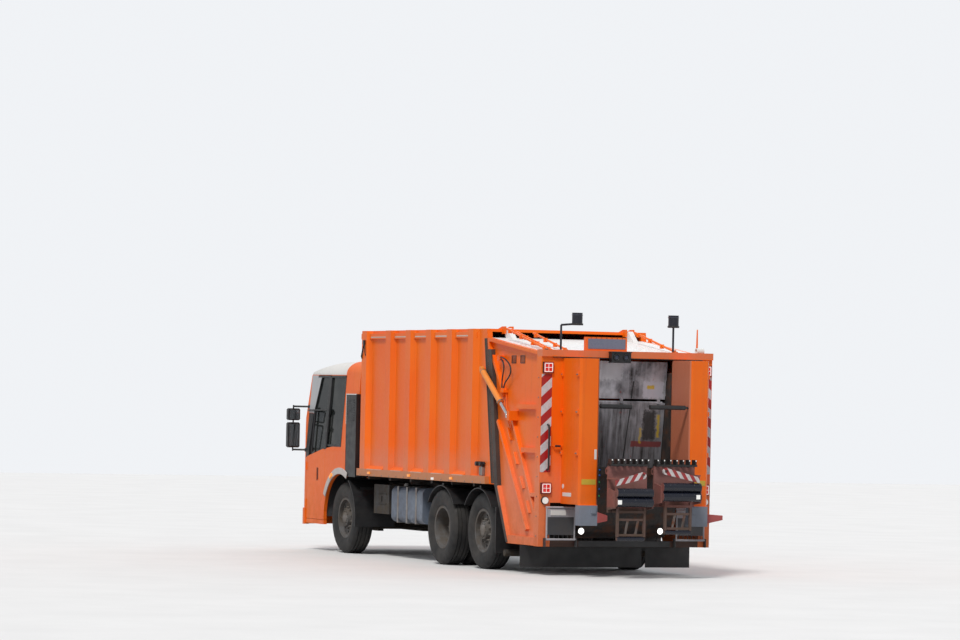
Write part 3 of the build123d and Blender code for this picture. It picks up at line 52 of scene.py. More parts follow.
def st(x, y, z):
    """A point given by its station, in the row frame."""
    return Vector((x - ORIGIN_X, y, z))


def on_line(t, start, end):
    """The value at t on the line through two (t, value) pairs."""
    return start[1] + (end[1] - start[1]) * (t - start[0]) / (end[0] - start[0])


# Materials
class Graph:
    """The nodes of a material or the world, with short names for those that it uses."""

    def __init__(self, name, world=None):
        self.mat = world or bpy.data.materials.new(name)
        self.mat.use_nodes = True
        self.tree = self.mat.node_tree
        self.shader = self.tree.nodes["Background" if world else "Principled BSDF"]
        self.coords = self.node("TexCoord", {}, "Object")

    def fill(self, node, values):
        """Link or set a node's inputs, given by name or number."""
        for key, value in values.items():
            if isinstance(value, bpy.types.NodeSocket):
                self.tree.links.new(value, node.inputs[key])
            else:
                node.inputs[key].default_value = value

    def node(self, kind, values, out, **settings):
        """Make a node, set it up and return one of its outputs."""
        made = self.tree.nodes.new("ShaderNode" + kind)
        for key, value in settings.items():
            setattr(made, key, value)
        self.fill(made, values)
        return made.outputs[out]

    def stretched(self, scale):
        """Object coordinates, scaled on each axis."""
        return self.node("Mapping", {"Vector": self.coords, "Scale": scale}, "Vector")

    def noise(self, scale, detail=4, rough=0.55, vector=None):
        where = self.coords if vector is None else vector
        values = {"Vector": where, "Scale": scale, "Detail": detail, "Roughness": rough}
        return self.node("TexNoise", values, "Fac")

    def ramp(self, fac, low, high, a=0, b=1):
        """Map fac from low..high onto a..b, clamped."""
        values = {"Value": fac, "From Min": low, "From Max": high, "To Min": a, "To Max": b}
        return self.node("MapRange", values, "Result")

    def math(self, operation, a, b=0):
        return self.node("Math", {0: a, 1: b}, "Value", operation=operation)

    def times(self, a, b):
        return self.math("MULTIPLY", a, b)

    def mix(self, fac, a, b):
        """From a to b as fac goes from 0 to 1; a and b are colours or sockets."""
        a, b = ((*value, 1) if isinstance(value, tuple) else value for value in (a, b))
        return self.node("Mix", {"Factor": fac, "A": a, "B": b}, "Result", data_type="RGBA")

    def axis(self, name):
        """One of the object coordinates."""
        return self.node("SeparateXYZ", {"Vector": self.coords}, name)

    def zone(self, limits, soft=0.001, ragged=0):
        """1 inside limits on x, y, z or the distance from the middle, side; else 0."""
        mask = None
        for key, (low, high) in limits.items():
            value = self.axis("Y" if key == "side" else key.upper())
            if key == "side":
                value = self.math("ABSOLUTE", value)
            if ragged:
                wave = self.ramp(self.noise(24, 6, 0.7), 0.3, 0.7, -ragged, ragged)
                value = self.math("ADD", value, wave)
            if key == "x":
                low, high = low - ORIGIN_X, high - ORIGIN_X
            above = self.ramp(value, low - soft, low + soft)
            inside = self.times(above, self.ramp(value, high - soft, high + soft, 1, 0))
            mask = inside if mask is None else self.times(mask, inside)
        return mask

    def zones(self, base, rows):
        """Lay zones over a colour: each row is (limits, colour, strength, soft, ragged)."""
        for limits, colour, strength, *edge in rows:
            base = self.mix(self.times(self.zone(limits, *edge), strength), base, colour)
        return base

    def finish(self, colour, rough, bump, strength, distance, metal=0):
        """Wire the shader, with a bump of a strength and a height."""
        values = {"Strength": strength, "Distance": distance, "Height": bump}
        normal = self.node("Bump", values, "Normal")
        values = {"Base Color": colour, "Roughness": rough, "Metallic": metal, "Normal": normal}
        self.fill(self.shader, values)
        return self.mat


GRIME = (0.1, 0.075, 0.05)
RUST = (0.16, 0.055, 0.022)
LINING = (0.03, 0.03, 0.033)
YELLOW = (0.62, 0.42, 0.02)
ORANGE = (0.93, 0.14, 0.002)
ORANGE_FADE = (0.96, 0.205, 0.01)
BLACK = (0.012, 0.012, 0.014)
WHITE = (0.85, 0.85, 0.82)


def cab_lining(g):
    """1 on the inner faces and window reveals of the cab's sides, which lean in at the top."""
    over = g.math("MAXIMUM", g.math("SUBTRACT", g.axis("Z"), SHOULDER_Z), 0)
    depth = g.math("ADD", g.math("ABSOLUTE", g.axis("Y")), g.times(over, CAB_LEAN))
    inner = g.math("LESS_THAN", depth, BODY_HALF - 0.0025)
    return g.times(inner, g.zone({"x": (7.385, 8.85), "z": (1.38, 2.6)}, 0.002))


def painted(name, colour, fade, grime=0.5, low_z=0.9, gloss=0.32, chips=0, zones=(),
            shine=0.5, lining=False):
    """Painted sheet: sun-faded patches, dirt that runs down, road dirt near the ground."""
    g = Graph(name)
    patch = g.ramp(g.noise(1.3, 5), 0.35, 0.7)
    base = g.zones(g.mix(g.times(patch, 0.55), colour, fade), zones)
    if lining:
        base = g.mix(cab_lining(g), base, LINING)
    fine = g.noise(22, 6, 0.65)
    streaks = g.noise(1, 6, 0.7, g.stretched((14, 14, 0.55)))
    runs = g.ramp(streaks, 0.5, 0.8, 0, 0.55 * grime)
    base = g.mix(g.times(runs, g.ramp(fine, 0.3, 0.6)), base, GRIME)
    road = g.ramp(g.axis("Z"), low_z + 0.5, low_z - 0.55)
    splash = g.ramp(g.noise(5, 7, 0.7), 0.34, 0.66)
    dirt = g.times(g.times(road, splash), grime)
    base = g.mix(dirt, base, GRIME)
    if chips:
        base = g.mix(g.ramp(g.noise(34, 8, 0.75), 0.66, 0.7, 0, chips), base, RUST)
    rough = g.math("ADD", g.ramp(fine, 0.2, 0.8, gloss - 0.06, gloss + 0.14), dirt)
    g.fill(g.shader, {"Specular IOR Level": shine})
    return g.finish(base, rough, fine, 0.05, 0.0012)


def orange(name, grime=0.26, low_z=0.75, gloss=0.32, shine=0.35, **more):
    """The truck's own orange."""
    return painted(name, ORANGE, ORANGE_FADE, grime, low_z, gloss, shine=shine, **more)


def plastic(name, colour, dust, amount, rough, grain=260):
    """Moulded plastic or rubber with a fine grain and dust in patches."""
    g = Graph(name)
    base = g.mix(g.ramp(g.noise(3, 6, 0.6), 0.42, 0.78, 0, amount), colour, dust)
    roughness = g.ramp(g.noise(9, 4), 0.3, 0.7, rough - 0.08, rough + 0.12)
    return g.finish(base, roughness, g.noise(grain, 2, 0.5), 0.12, 0.0008)


def steel(name, colour, dark, rust=0.3, rough=0.38, metal=0.85):
    """Bare steel, scratched and stained, with rust in patches."""
    g = Graph(name)
    brushed = g.noise(1, 5, 0.6, g.stretched((30, 30, 2.5)))
    stain = g.ramp(g.noise(6, 8, 0.7), 0.48, 0.62, 0, rust)
    base = g.mix(stain, g.mix(g.ramp(brushed, 0.3, 0.75), dark, colour), RUST)
    worn = g.ramp(brushed, 0.3, 0.7, rough, rough + 0.18)
    roughness = g.math("ADD", worn, g.times(stain, 0.4))
    shine = g.ramp(stain, 0, 0.6, metal, 0.1)
    return g.finish(base, roughness, g.noise(60, 6, 0.7), 0.12, 0.001, shine)


def glass(name, tint):
    """Window glass: dark, a little dusty; the headlamps' lenses, low down, are clear."""
    dark, clearer = 0.88, 0.68
    g = Graph(name)
    dust = g.ramp(g.noise(2.2, 6, 0.65), 0.45, 0.8, 0, 0.12)
    low = g.zone({"z": (0, 0.75)}, 0.002)
    base = g.mix(low, g.mix(dust, tint, (0.3, 0.27, 0.23)), (0.55, 0.57, 0.6))
    alpha = g.math("SUBTRACT", g.math("ADD", dust, dark), g.times(low, clearer))
    g.fill(g.shader, {
        "Base Color": base, "Roughness": g.ramp(dust, 0, 0.3, 0.03, 0.25), "Alpha": alpha,
        "IOR": 1.5, "Specular IOR Level": 0.35,
    })
    return g.mat


def lens(name, colour, glow=0, zones=()):
    """A lamp's lens, moulded with fine ribs; glow lights it."""
    g = Graph(name)
    wave = g.node("TexWave", {"Vector": g.coords, "Scale": 170}, "Fac",
                  wave_type="BANDS", bands_direction="DIAGONAL")
    shade = tuple(c * 0.5 for c in colour)
    base = g.zones(g.mix(g.ramp(g.noise(14), 0.3, 0.8, 0, 0.4), colour, shade), zones)
    g.fill(g.shader, {"Coat Weight": 0.6})
    if glow:
        g.fill(g.shader, {"Emission Color": base, "Emission Strength": glow})
    return g.finish(base, 0.18, wave, 0.25, 0.0012)


def striped(name, first, second, pitch, lean, soil=0.5):
    """Warning sheet in two colours: diagonal bands, pitch apart, the same on both sides."""
    g = Graph(name)
    side = g.times(g.math("ABSOLUTE", g.axis("Y")), lean)
    phase = g.math("DIVIDE", g.math("ADD", g.axis("Z"), side), pitch)
    band = g.math("LESS_THAN", g.math("FRACT", phase), 0.5)
    grime = g.ramp(g.noise(11, 7, 0.7), 0.45, 0.72, 0, soil)
    base = g.mix(grime, g.mix(band, first, second), GRIME)
    return g.finish(base, g.ramp(grime, 0, 0.5, 0.3, 0.6), g.noise(420, 1), 0.15, 0.0006)


# Zones of colour on a look: limits, colour, strength, soft edge, ragged edge
PACKER_ZONES = [
    # the pale patches high on the plates: partly stains, partly painted sunlight
    ({"y": (0.02, 0.34), "z": (2.59, 2.86)}, (0.66, 0.66, 0.7), 0.8, 0.02, 0.03),
    ({"y": (-0.6, -0.3), "z": (2.36, 2.58)}, (0.58, 0.58, 0.66), 0.8, 0.01, 0.02),
    ({"y": (-0.46, -0.36), "z": (2.48, 2.53)}, YELLOW, 0.9, 0.006, 0.012),
    ({"y": (-0.62, -0.17), "z": (1.71, 1.785)}, (0.2, 0.035, 0.035), 0.9, 0.006, 0.008),
    ({"y": (-0.51, -0.33), "z": (1.8, 2.2)}, (0.02, 0.018, 0.018), 0.85, 0.02, 0.03),
    ({"y": (-0.575, -0.535), "z": (1.84, 2.14)}, YELLOW, 0.75, 0.008, 0.02),
    ({"y": (-0.315, -0.285), "z": (1.76, 1.96)}, YELLOW, 0.65, 0.008, 0.02),
]
SIDE_ZONES = [
    # ochre on the bottom rail: partly dirt, partly a painted highlight of its sunlit face
    ({"z": (1, 1.262)}, (0.42, 0.2, 0.075), 0.8, 0.004),
    ({"z": (1.262, 1.52)}, (0.74, 0.24, 0.12), 0.45, 0.14, 0.08),
]
GATE_ZONES = [
    ({"z": (0.3, 1.5)}, (0.74, 0.26, 0.15), 0.45, 0.22, 0.08),
    ({"z": (2.885, 3), "x": (-0.1, 0.2)}, (0.6, 0.22, 0.14), 0.5, 0.004, 0.02),
    # black over the low beam: painted shade under the tailgate
    ({"x": (-0.01, 0.105), "side": (0, 1.075), "z": (0.38, 0.468)}, BLACK, 0.95),
    ({"x": (-0.08, -0.001), "side": (0.6, 1.2), "z": (0.38, 0.95)},
     (0.045, 0.046, 0.052), 1),
]
CHEEK_ZONES = [
    # brown on the cheeks' inner faces: painted shade
    ({"side": (0.6, 0.6655), "z": (0.9, 2.9)}, (0.44, 0.19, 0.13), 0.75, 0.0008),
    ({"x": (-0.7, -0.455), "z": (0.5, 0.945)}, (0.22, 0.25, 0.31), 1, 0.002),
    ({"x": (-0.57, -0.1), "side": (0.92, 0.94), "z": (0.9, 1.35)},
     (0.55, 0.2, 0.12), 0.5, 0.12, 0.06),
]
LIFT_ZONES = [
    ({"z": (1.465, 1.6)}, BLACK, 1, 0.006, 0.01),
    ({"z": (0.4, 0.93)}, (0.085, 0.055, 0.048), 0.85, 0.02, 0.02),
]
LAMP_ZONES = [
    ({"z": (0.94, 1.04)}, WHITE, 1),
    ({"z": (0.565, 0.667)}, (1, 1, 0.97), 1),
    ({"z": (0.3, 0.565)}, BLACK, 1),
    ({"z": (0.667, 0.69)}, BLACK, 1),
]
STEP_ZONES = [
    ({"side": (0.752, 1.128), "z": (0.495, 0.775)}, (0.022, 0.024, 0.03), 0.95, 0.002),
]
ROOF_GEAR_ZONES = [
    ({"x": (-0.2, 0), "z": (2.8, 3.2)}, BLACK, 1),
    ({"side": (0.62, 1), "z": (2.975, 3.6)}, (0.012, 0.014, 0.024), 1),
]


def hopper_plate(name):
    """The packer's face: bare steel with black runs and old paint, paler towards the top: partly
    where it dried, partly painted sunlight.
    """
    g = Graph(name)
    runs = g.noise(1, 7, 0.72, g.stretched((3, 16, 1.1)))
    base = g.mix(g.ramp(runs, 0.36, 0.66), (0.03, 0.028, 0.028), (0.3, 0.3, 0.33))
    cloud = g.ramp(g.noise(2.6, 6, 0.6), 0.42, 0.62)
    # paler towards the top: partly dried residue, partly painted sunlight
    pale = g.times(cloud, g.ramp(g.axis("Z"), 1.9, 2.6, 0.15, 0.9))
    base = g.mix(pale, base, (0.6, 0.6, 0.66))
    old = g.ramp(g.noise(9, 8, 0.7), 0.62, 0.68, 0, 0.55)
    base = g.zones(g.mix(old, base, (0.3, 0.035, 0.03)), PACKER_ZONES)
    rough, shine = g.ramp(runs, 0.3, 0.7, 0.75, 0.42), g.ramp(runs, 0.3, 0.7, 0.1, 0.4)
    return g.finish(base, rough, g.noise(38, 7, 0.75), 0.25, 0.002, shine)


M = {
    # name, grime, height of the road dirt, gloss
    "orange": orange("orange_paint"),
    "cab": orange("orange_paint_cab", lining=True),
    "side": orange("orange_paint_sides", zones=SIDE_ZONES),
    "gate": orange("orange_paint_gate", 0.32, zones=GATE_ZONES),
    "cheek": orange("cheek_paint", 0.36, 0.8, 0.36, zones=CHEEK_ZONES),
    "gear": orange("roof_gear_paint", 0.4, shine=0.5, zones=ROOF_GEAR_ZONES),
    # name, colour, faded colour, grime, height of the road dirt, gloss, chips, zones
    "rose": painted("rose_paint", (0.48, 0.2, 0.15), (0.52, 0.27, 0.22), 0.9, 1.2, 0.5, 0.6),
    "lift": painted("lifter_paint", (0.25, 0.075, 0.062), (0.36, 0.2, 0.19), 0.9, 1.1, 0.45, 0.7,
                    LIFT_ZONES),
    "lift_orange": painted("cylinder_paint", (0.9, 0.24, 0.02), (0.9, 0.36, 0.08), 0.5, 0.5),
    "pale": painted("pale_paint", (0.8, 0.79, 0.77), (0.86, 0.84, 0.8), 0.45, 0.6),
    "roof_white": painted("roof_white", (0.82, 0.82, 0.82), (0.86, 0.85, 0.83), 0.95, 0.6, 0.5,
                          0.25),
    "wing": painted("wing_paint", (0.46, 0.075, 0.075), (0.5, 0.14, 0.12), 0.6, 0.7),
    "display": painted("display_face", (0.17, 0.19, 0.27), (0.24, 0.26, 0.34), 0.5, 0.6, 0.25),
    # pale lip colour over the front arches: painted highlight
    "flare": painted("arch_highlight_paint", (0.6, 0.56, 0.54), (0.66, 0.58, 0.52)),
    "plate_white": painted("plate_white", (0.72, 0.72, 0.7), (0.8, 0.8, 0.78), 0.5, 0.6),
    # pale edge colour: painted highlights on the ledges
    "dusty": painted("ledge_highlight_paint", (0.62, 0.4, 0.3), (0.78, 0.7, 0.64), 0.2, 0.4, 0.6),
    # grey on the pillar before the side windows: painted reflection of the sky
    "pillar": painted("pillar_sky_reflection", (0.46, 0.47, 0.49), (0.56, 0.56, 0.57), 0.3, 0.6),
    "chassis": painted("chassis_black", (0.018, 0.018, 0.02), (0.035, 0.034, 0.033), 0.8, 1.1,
                       0.45, 0.5),
    "tank": painted("tank_blue_grey", (0.13, 0.17, 0.24), (0.2, 0.24, 0.3), 0.6, 0.8),
    "tube": painted("tube_silver", (0.4, 0.4, 0.44), (0.5, 0.48, 0.5), 0.5, 0.6, 0.3, 0.3,
                    STEP_ZONES),
    # dark grey rims, darkened for the shade under the body: painted shade
    "wheel": painted("wheel_grey", (0.12, 0.12, 0.125), (0.17, 0.165, 0.16), 0.8, 1.2, 0.5, 0.5),
    "nut": painted("nut_grey", (0.2, 0.19, 0.185), (0.28, 0.26, 0.24), 0.8, 1.2, 0.5, 0.6),
    "yellow": painted("yellow_paint", YELLOW, (0.7, 0.52, 0.1), 0.8, 1),
    "blue": painted("blue_button", (0.02, 0.1, 0.42), (0.04, 0.16, 0.5), 0.2, 0.5),
    "green": painted("green_button", (0.02, 0.26, 0.08), (0.04, 0.34, 0.12), 0.2, 0.5),
    # name, bright colour, dark colour, rust, roughness, metal
    "steel": steel("worn_steel", (0.4, 0.39, 0.38), (0.17, 0.16, 0.155)),
    "trough": steel("shaded_trough_steel", (0.07, 0.06, 0.056), (0.02, 0.018, 0.018), 0.5, 0.55, 0.3),
    # dark steel for the trough: painted shade in the low hopper
    "rusty": steel("rusty_steel", (0.24, 0.2, 0.18), (0.07, 0.055, 0.05), 0.95, 0.55, 0.5),
    "chrome": steel("rod_chrome", (0.8, 0.8, 0.82), (0.6, 0.6, 0.62), 0.05, 0.1, 1),
    "mirror": steel("mirror_silver", (0.75, 0.77, 0.8), (0.7, 0.72, 0.75), 0, 0.03, 1),
    "plate": hopper_plate("packer_plate"),
    # name, colour, dust colour, dust, roughness, grain
    "tyre": plastic("tyre_rubber", (0.018, 0.018, 0.019), (0.09, 0.08, 0.07), 0.5, 0.75, 120),
    "rubber": plastic("black_rubber", (0.014, 0.014, 0.016), (0.07, 0.065, 0.06), 0.3, 0.42,
                      160),
    "roller": plastic("roller_rubber", (0.008, 0.01, 0.02), (0.04, 0.04, 0.045), 0.15, 0.24,
                      400),
    "seal": plastic("seal_rubber", (0.05, 0.038, 0.034), (0.13, 0.085, 0.062), 0.5, 0.6, 90),
    "plastic": plastic("black_plastic", (0.013, 0.013, 0.015), (0.06, 0.055, 0.05), 0.3, 0.4),
    "trim": plastic("cab_trim", (0.05, 0.05, 0.055), (0.1, 0.1, 0.1), 0.3, 0.6),
    "fabric": plastic("seat_fabric", (0.03, 0.034, 0.055), (0.06, 0.06, 0.07), 0.3, 0.85, 600),
    "glass": glass("window_glass", (0.012, 0.016, 0.016)),
    # name, colour, glow, zones
    "lamps": lens("rear_lamp_lens", (0.66, 0.012, 0.01), 0.22, LAMP_ZONES),
    # the white lens glows; on the reflectors that it dresses, the glow is a painted glint
    "white_lens": lens("white_lens", WHITE, 0.4),
    "amber_lens": lens("amber_lens", (0.95, 0.3, 0.02), 0.5),
    "beacon": lens("beacon_lens", (0.012, 0.018, 0.045)),
    "work_lamp": lens("work_lamp", (1, 0.98, 0.93), 2.5),
    # name, two colours, pitch, lean, soil
    "stripes": striped("warning_stripes", (0.62, 0.64, 0.68), (0.42, 0.012, 0.014), 0.256, 0.9,
                       0.35),
    "arm_stripes": striped("arm_stripes", (0.66, 0.62, 0.62), (0.36, 0.03, 0.035), 0.17, 1.6),
}

# Which nodes of the model get each look
NODE_LOOKS = {
    "pale": "cab_roof",
    "roof_white": "tailgate_roof",
    "orange": "front_panel container_roof container_front rear_frame",
    "cab": "cab_shell door_left door_right",
    "side": "container_sides",
    "gate": "tailgate_sides rear_posts",
    "cheek": "cheeks",
    "gear": "roof_gear",
    "lift": "lifter_left lifter_right",
    "arm_stripes": "arm_left arm_right",
    "lift_orange": "lift_barrels",
    "chrome": "lift_rods",
    "chassis": "chassis_frame axles engine side_boxes knuckle_left knuckle_right tie_rod",
    "tank": "tanks",
    "plastic": "mudguards intake_stack mirrors",
    "trim": "cab_floor dashboard",
    "fabric": "seats",
    "glass": "cab_glass door_glass_left door_glass_right",
    "steel": "container_floor ejector_plate",
    "trough": "hopper_trough",
    "plate": "carriage packer_blade",
    "tube": "step_left step_right",
    "rubber": "buffer_rollers",
    "lamps": "rear_lamps",
}

# Which looks of the added pieces go by each slot's name
SLOT_LOOKS = {
    "black_plastic": "plastic pillar blue green display",
    "black_rubber": "rubber seal roller",
    "bare_steel": "steel tube rusty lift_orange",
    "pale_paint": "pale flare plate_white dusty stripes yellow",
    "orange_paint": "gate rose wing",
    "lamp_lens": "amber_lens white_lens work_lamp beacon",
    "rod_chrome": "chrome mirror",
    "tyre_rubber": "tyre",
    "wheel_grey": "nut",
    "seat_fabric": "fabric",
    "cab_trim": "trim",
    "chassis_black": "chassis",
}
SLOTS = {look: slot for slot, looks in SLOT_LOOKS.items() for look in looks.split()}


def dress_nodes():
    """Give every node of the model its look."""
    looks = {node: look for look, nodes in NODE_LOOKS.items() for node in nodes.split()}
    for name, obj in NODES.items():
        wheel_look = {"tyre": "tyre", "rim": "wheel"}.get(name.split("_")[0])
        obj.data.materials.clear()
        obj.data.materials.append(M[wheel_look or looks[name]])


# Mesh helpers: every method takes stations
def spot(axis, w, u, v):
    """The station at w on an axis, and at u and v on the other two, in order."""
    return {"x": (w, u, v), "y": (u, w, v), "z": (u, v, w)}[axis]


def linked(name, data):
    """A new object in the scene."""
    obj = bpy.data.objects.new(name, data)
    SCENE.collection.objects.link(obj)
    return obj


def bevel(obj, name, width, segments, degrees):
    """Round the edges of an object that turn more than an angle."""
    edge = obj.modifiers.new(name, "BEVEL")
    edge.width, edge.segments = width, segments
    edge.limit_method, edge.angle_limit = "ANGLE", radians(degrees)


def circle(centre, spin, radius, sides):
    """Points round a centre, square to the z axis of spin."""
    angles = [tau * k / sides for k in range(sides)]
    points = [Vector((radius * cos(a), radius * sin(a), 0)) for a in angles]
    return [centre + spin @ p for p in points]


# Edges that turn by more than these angles, in degrees, stay sharp or get a bevel
SHARP_TURN = 38
BEVEL_TURN = 35


class Solid:
    """Collects simple closed forms in one mesh."""

    def __init__(self):
        self.bm = bmesh.new()

    def skin(self, points, sides):
        """Rings of as many points as sides, joined by walls and capped at both ends."""
        verts = [self.bm.verts.new(p) for p in points]
        last = len(points) - sides
        for k in range(0, last, sides):
            for i in range(sides):
                j = (i + 1) % sides
                corners = (k + i, k + j, k + sides + j, k + sides + i)
                self.bm.faces.new([verts[c] for c in corners])
        self.bm.faces.new(verts[sides - 1::-1])
        self.bm.faces.new(verts[last:])

    def box(self, x0, x1, y0, y1, z0, z1, turn=None):
        """A block; turn is a rotation about its centre."""
        mid = st((x0 + x1) / 2, (y0 + y1) / 2, (z0 + z1) / 2)
        half = (abs(x1 - x0) / 2, abs(y1 - y0) / 2, abs(z1 - z0) / 2)
        spin = turn or Matrix.Identity(3)
        signs = [(sx, sy, sz) for sz in (-1, 1) for sx, sy in ((-1, -1), (1, -1), (1, 1), (-1, 1))]
        self.skin([mid + spin @ Vector([s * h for s, h in zip(sign, half)]) for sign in signs], 4)

    def rod(self, a, b, r0, r1=None, sides=20):
        """A round bar or cone between two stations."""
        a, b = st(*a), st(*b)
        spin = (b - a).to_track_quat("Z", "Y")
        self.skin(circle(a, spin, r0, sides) + circle(b, spin, r1 or r0, sides), sides)

    def stud(self, axis, a, b, u, v, sides, r0, r1=None):
        """A round bar or cone along an axis, from a to b, at u and v on the other two."""
        self.rod(spot(axis, a, u, v), spot(axis, b, u, v), r0, r1, sides)

    def pipe(self, path, radius, sides=10):
        """A round tube along a list of stations, capped at its ends."""
        points = [st(*p) for p in path]
        spin = None
        rings = []
        for k, p in enumerate(points):
            run = (points[min(k + 1, len(points) - 1)] - points[max(k - 1, 0)]).normalized()
            if spin is None:
                spin = run.to_track_quat("Z", "Y")
            else:
                spin = (spin @ Vector((0, 0, 1))).rotation_difference(run) @ spin
            rings += circle(p, spin, radius, sides)
        self.skin(rings, sides)

    def turned(self, centre, axis, profile, sides=32, change=None):
        """A closed profile of (along, radius) points revolved about an axis through centre."""
        centre = st(*centre)
        spin = Vector(axis).to_track_quat("Z", "Y")
        poles = {}
        rings = []
        for k in range(sides):
            a = tau * k / sides
            ring = []
            for i, (along, radius) in enumerate(profile):
                if change is not None:
                    along, radius = change(k, i, along, radius)
                point = Vector((radius * cos(a), radius * sin(a), along))
                vert = poles.get(i) or self.bm.verts.new(centre + spin @ point)
                if radius == 0:
                    poles[i] = vert
                ring.append(vert)
            rings.append(ring)
        for here, there in zip(rings, rings[1:] + rings[:1]):
            for i in range(len(profile)):
                j = (i + 1) % len(profile)
                corners = list(dict.fromkeys((here[i], there[i], there[j], here[j])))
                if len(corners) > 2:
                    self.bm.faces.new(corners)

    def border(self, axis, a, b, u0, u1, z0, z1, width):
        """Four bars round a rectangle that faces along x or y, a to b deep."""
        low, high = z0 + width, z1 - width
        bars = [(u0, u1, z0, low), (u0, u1, high, z1),
                (u0, u0 + width, low, high), (u1 - width, u1, low, high)]
        for u, v, bottom, top in bars:
            self.box(*((a, b, u, v) if axis == "x" else (u, v, a, b)), bottom, top)

    def panel(self, rows, s):
        """A thin strip on the cab's side, of rows (rear x, front x, z); s is 1 left, -1 right."""
        points = []
        for x0, x1, z in rows:
            sunk, proud = wall_y(z) - 0.003, wall_y(z) + 0.004
            for x, y in ((x0, sunk), (x1, sunk), (x1, proud), (x0, proud)):
                points.append(st(x, s * y, z))
        self.skin(points, 4)

    def prism(self, outline, axis, a, b):
        """An outline extruded along an axis; its points are on the other two, in order."""
        points = [st(*spot(axis, w, u, v)) for w in (a, b) for u, v in outline]
        self.skin(points, len(outline))

    def mirrored(self):
        """Add the same forms on the right of the truck."""
        parts = self.bm.verts[:] + self.bm.edges[:] + self.bm.faces[:]
        for item in bmesh.ops.duplicate(self.bm, geom=parts)["geom"]:
            if isinstance(item, bmesh.types.BMVert):
                item.co.y = -item.co.y
        return self

    def piece(self, body, name, look, width=0, segments=2, slot=None, replaces=()):
        """Make the object, ride it on its body and give it its look's material."""
        slot = slot or SLOTS[look]
        bmesh.ops.recalc_face_normals(self.bm, faces=self.bm.faces)
        mesh = bpy.data.meshes.new(name)
        self.bm.to_mesh(mesh)
        self.bm.free()
        obj = linked(name, mesh)
        mesh.materials.append(M[look])
        for face in mesh.polygons:
            face.use_smooth = True
        mesh.set_sharp_from_angle(angle=radians(SHARP_TURN))
        if width:
            bevel(obj, "Bevel", width, segments, BEVEL_TURN)
        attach(obj, body)
        if replaces:
            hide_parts(*replaces)
        return obj


def solids(count):
    return [Solid() for _ in range(count)]


def make_all(body, *rows):
    """Make a body's pieces from rows of (solid, name, look, bevel)."""
    for solid, *row in rows:
        solid.piece(body, *row)


def mirror_all(body, *rows):
    """The same, with every form on both sides of the truck."""
    make_all(body, *((solid.mirrored(), *row) for solid, *row in rows))


def soften_nodes():
    """Round the outer edges of the sheet-metal nodes a little, so that they catch light."""
    widths = {
        "container_sides": 0.006, "rear_posts": 0.006, "cheeks": 0.004, "tailgate_sides": 0.004,
        "mirrors": 0.004, "cab_roof": 0.006,
    }
    for name, width in widths.items():
        obj = NODES[name]
        obj.modifiers.new("Weld", "WELD").merge_threshold = 0.00005
        flat = obj.modifiers.new("Flat", "DECIMATE")
        flat.decimate_type = "DISSOLVE"
        flat.angle_limit = radians(0.5)
        bevel(obj, "Edge", width, 2, 30)


# Stage, light and camera
def build_stage():
    """A bright floor and background for the camera, dimmer for the light they give back."""
    g = Graph("studio_floor")
    seen = g.node("LightPath", {}, "Is Camera Ray")
    for ray in ("Is Glossy Ray", "Is Transmission Ray"):
        seen = g.math("MAXIMUM", seen, g.node("LightPath", {}, ray))
    speckle = g.ramp(g.noise(0.8, 3), 0.3, 0.7, 0.76, 0.8)
    tone = g.node("CombineColor", dict.fromkeys(("Red", "Green", "Blue"), speckle), "Color")
    g.fill(g.shader, {"Base Color": g.mix(seen, (0.35, 0.35, 0.35), tone), "Roughness": 0.9})
    mesh = bpy.data.meshes.new("floor")
    half = 60
    corners = [(-half, -half, 0), (half, -half, 0), (half, half, 0), (-half, half, 0)]
    mesh.from_pydata(corners, [], [(0, 1, 2, 3)])
    floor = linked("floor", mesh)
    mesh.materials.append(g.mat)

    SCENE.world = bpy.data.worlds.new("studio")
    g = Graph("studio", SCENE.world)
    seen = g.node("LightPath", {}, "Is Camera Ray")
    strength = g.node("Mix", {"Factor": seen, "A": 0.55, "B": 0.92}, "Result")
    g.fill(g.shader, {"Color": (0.95, 0.97, 1, 1), "Strength": strength})

    # name, strength, colour, soft angle in degrees, direction the light travels
    suns = [
        ("key", 2, (1, 0.97, 0.93), 12, (0.55, -0.5, -0.95)),
        ("fill", 0.7, (0.92, 0.95, 1), 60, (-0.7, 0.8, -0.55)),
    ]
    for name, power, colour, angle, way in suns:
        lamp = bpy.data.lights.new(name, "SUN")
        lamp.energy, lamp.color, lamp.angle = power, colour, radians(angle)
        obj = linked(name, lamp)
        obj.rotation_mode = "QUATERNION"
        obj.rotation_quaternion = Vector(way).to_track_quat("-Z", "Y")


CAMERA_AT = (-51.024, 23.28, 2.273)
CAMERA_YAW = radians(-22.518)
CAMERA_PITCH = radians(1.098)
CAMERA_ROLL = radians(1.16)
SENSOR = 36
FOCAL_PX = 4237
FRAME_PX = 960


def build_camera():
    """The photograph's camera: a long lens from behind and to the left."""
    level = cos(CAMERA_PITCH)
    ahead = Vector((cos(CAMERA_YAW) * level, sin(CAMERA_YAW) * level, sin(CAMERA_PITCH)))
    right = ahead.cross(Vector((0, 0, 1))).normalized()
    up = right.cross(ahead)
    rolled = Quaternion(ahead, -CAMERA_ROLL).to_matrix()
    data = bpy.data.cameras.new("camera")
    data.sensor_width = SENSOR
    data.lens = FOCAL_PX * SENSOR / FRAME_PX
    data.clip_start, data.clip_end = 1, 300
    camera = linked("camera", data)
    axes = Matrix((rolled @ right, rolled @ up, -ahead)).transposed().to_4x4()
    camera.matrix_world = Matrix.Translation(st(*CAMERA_AT)) @ axes
    SCENE.camera = camera


SCENE.view_settings.view_transform = "Standard"
build_camera()
build_stage()
dress_nodes()
soften_nodes()


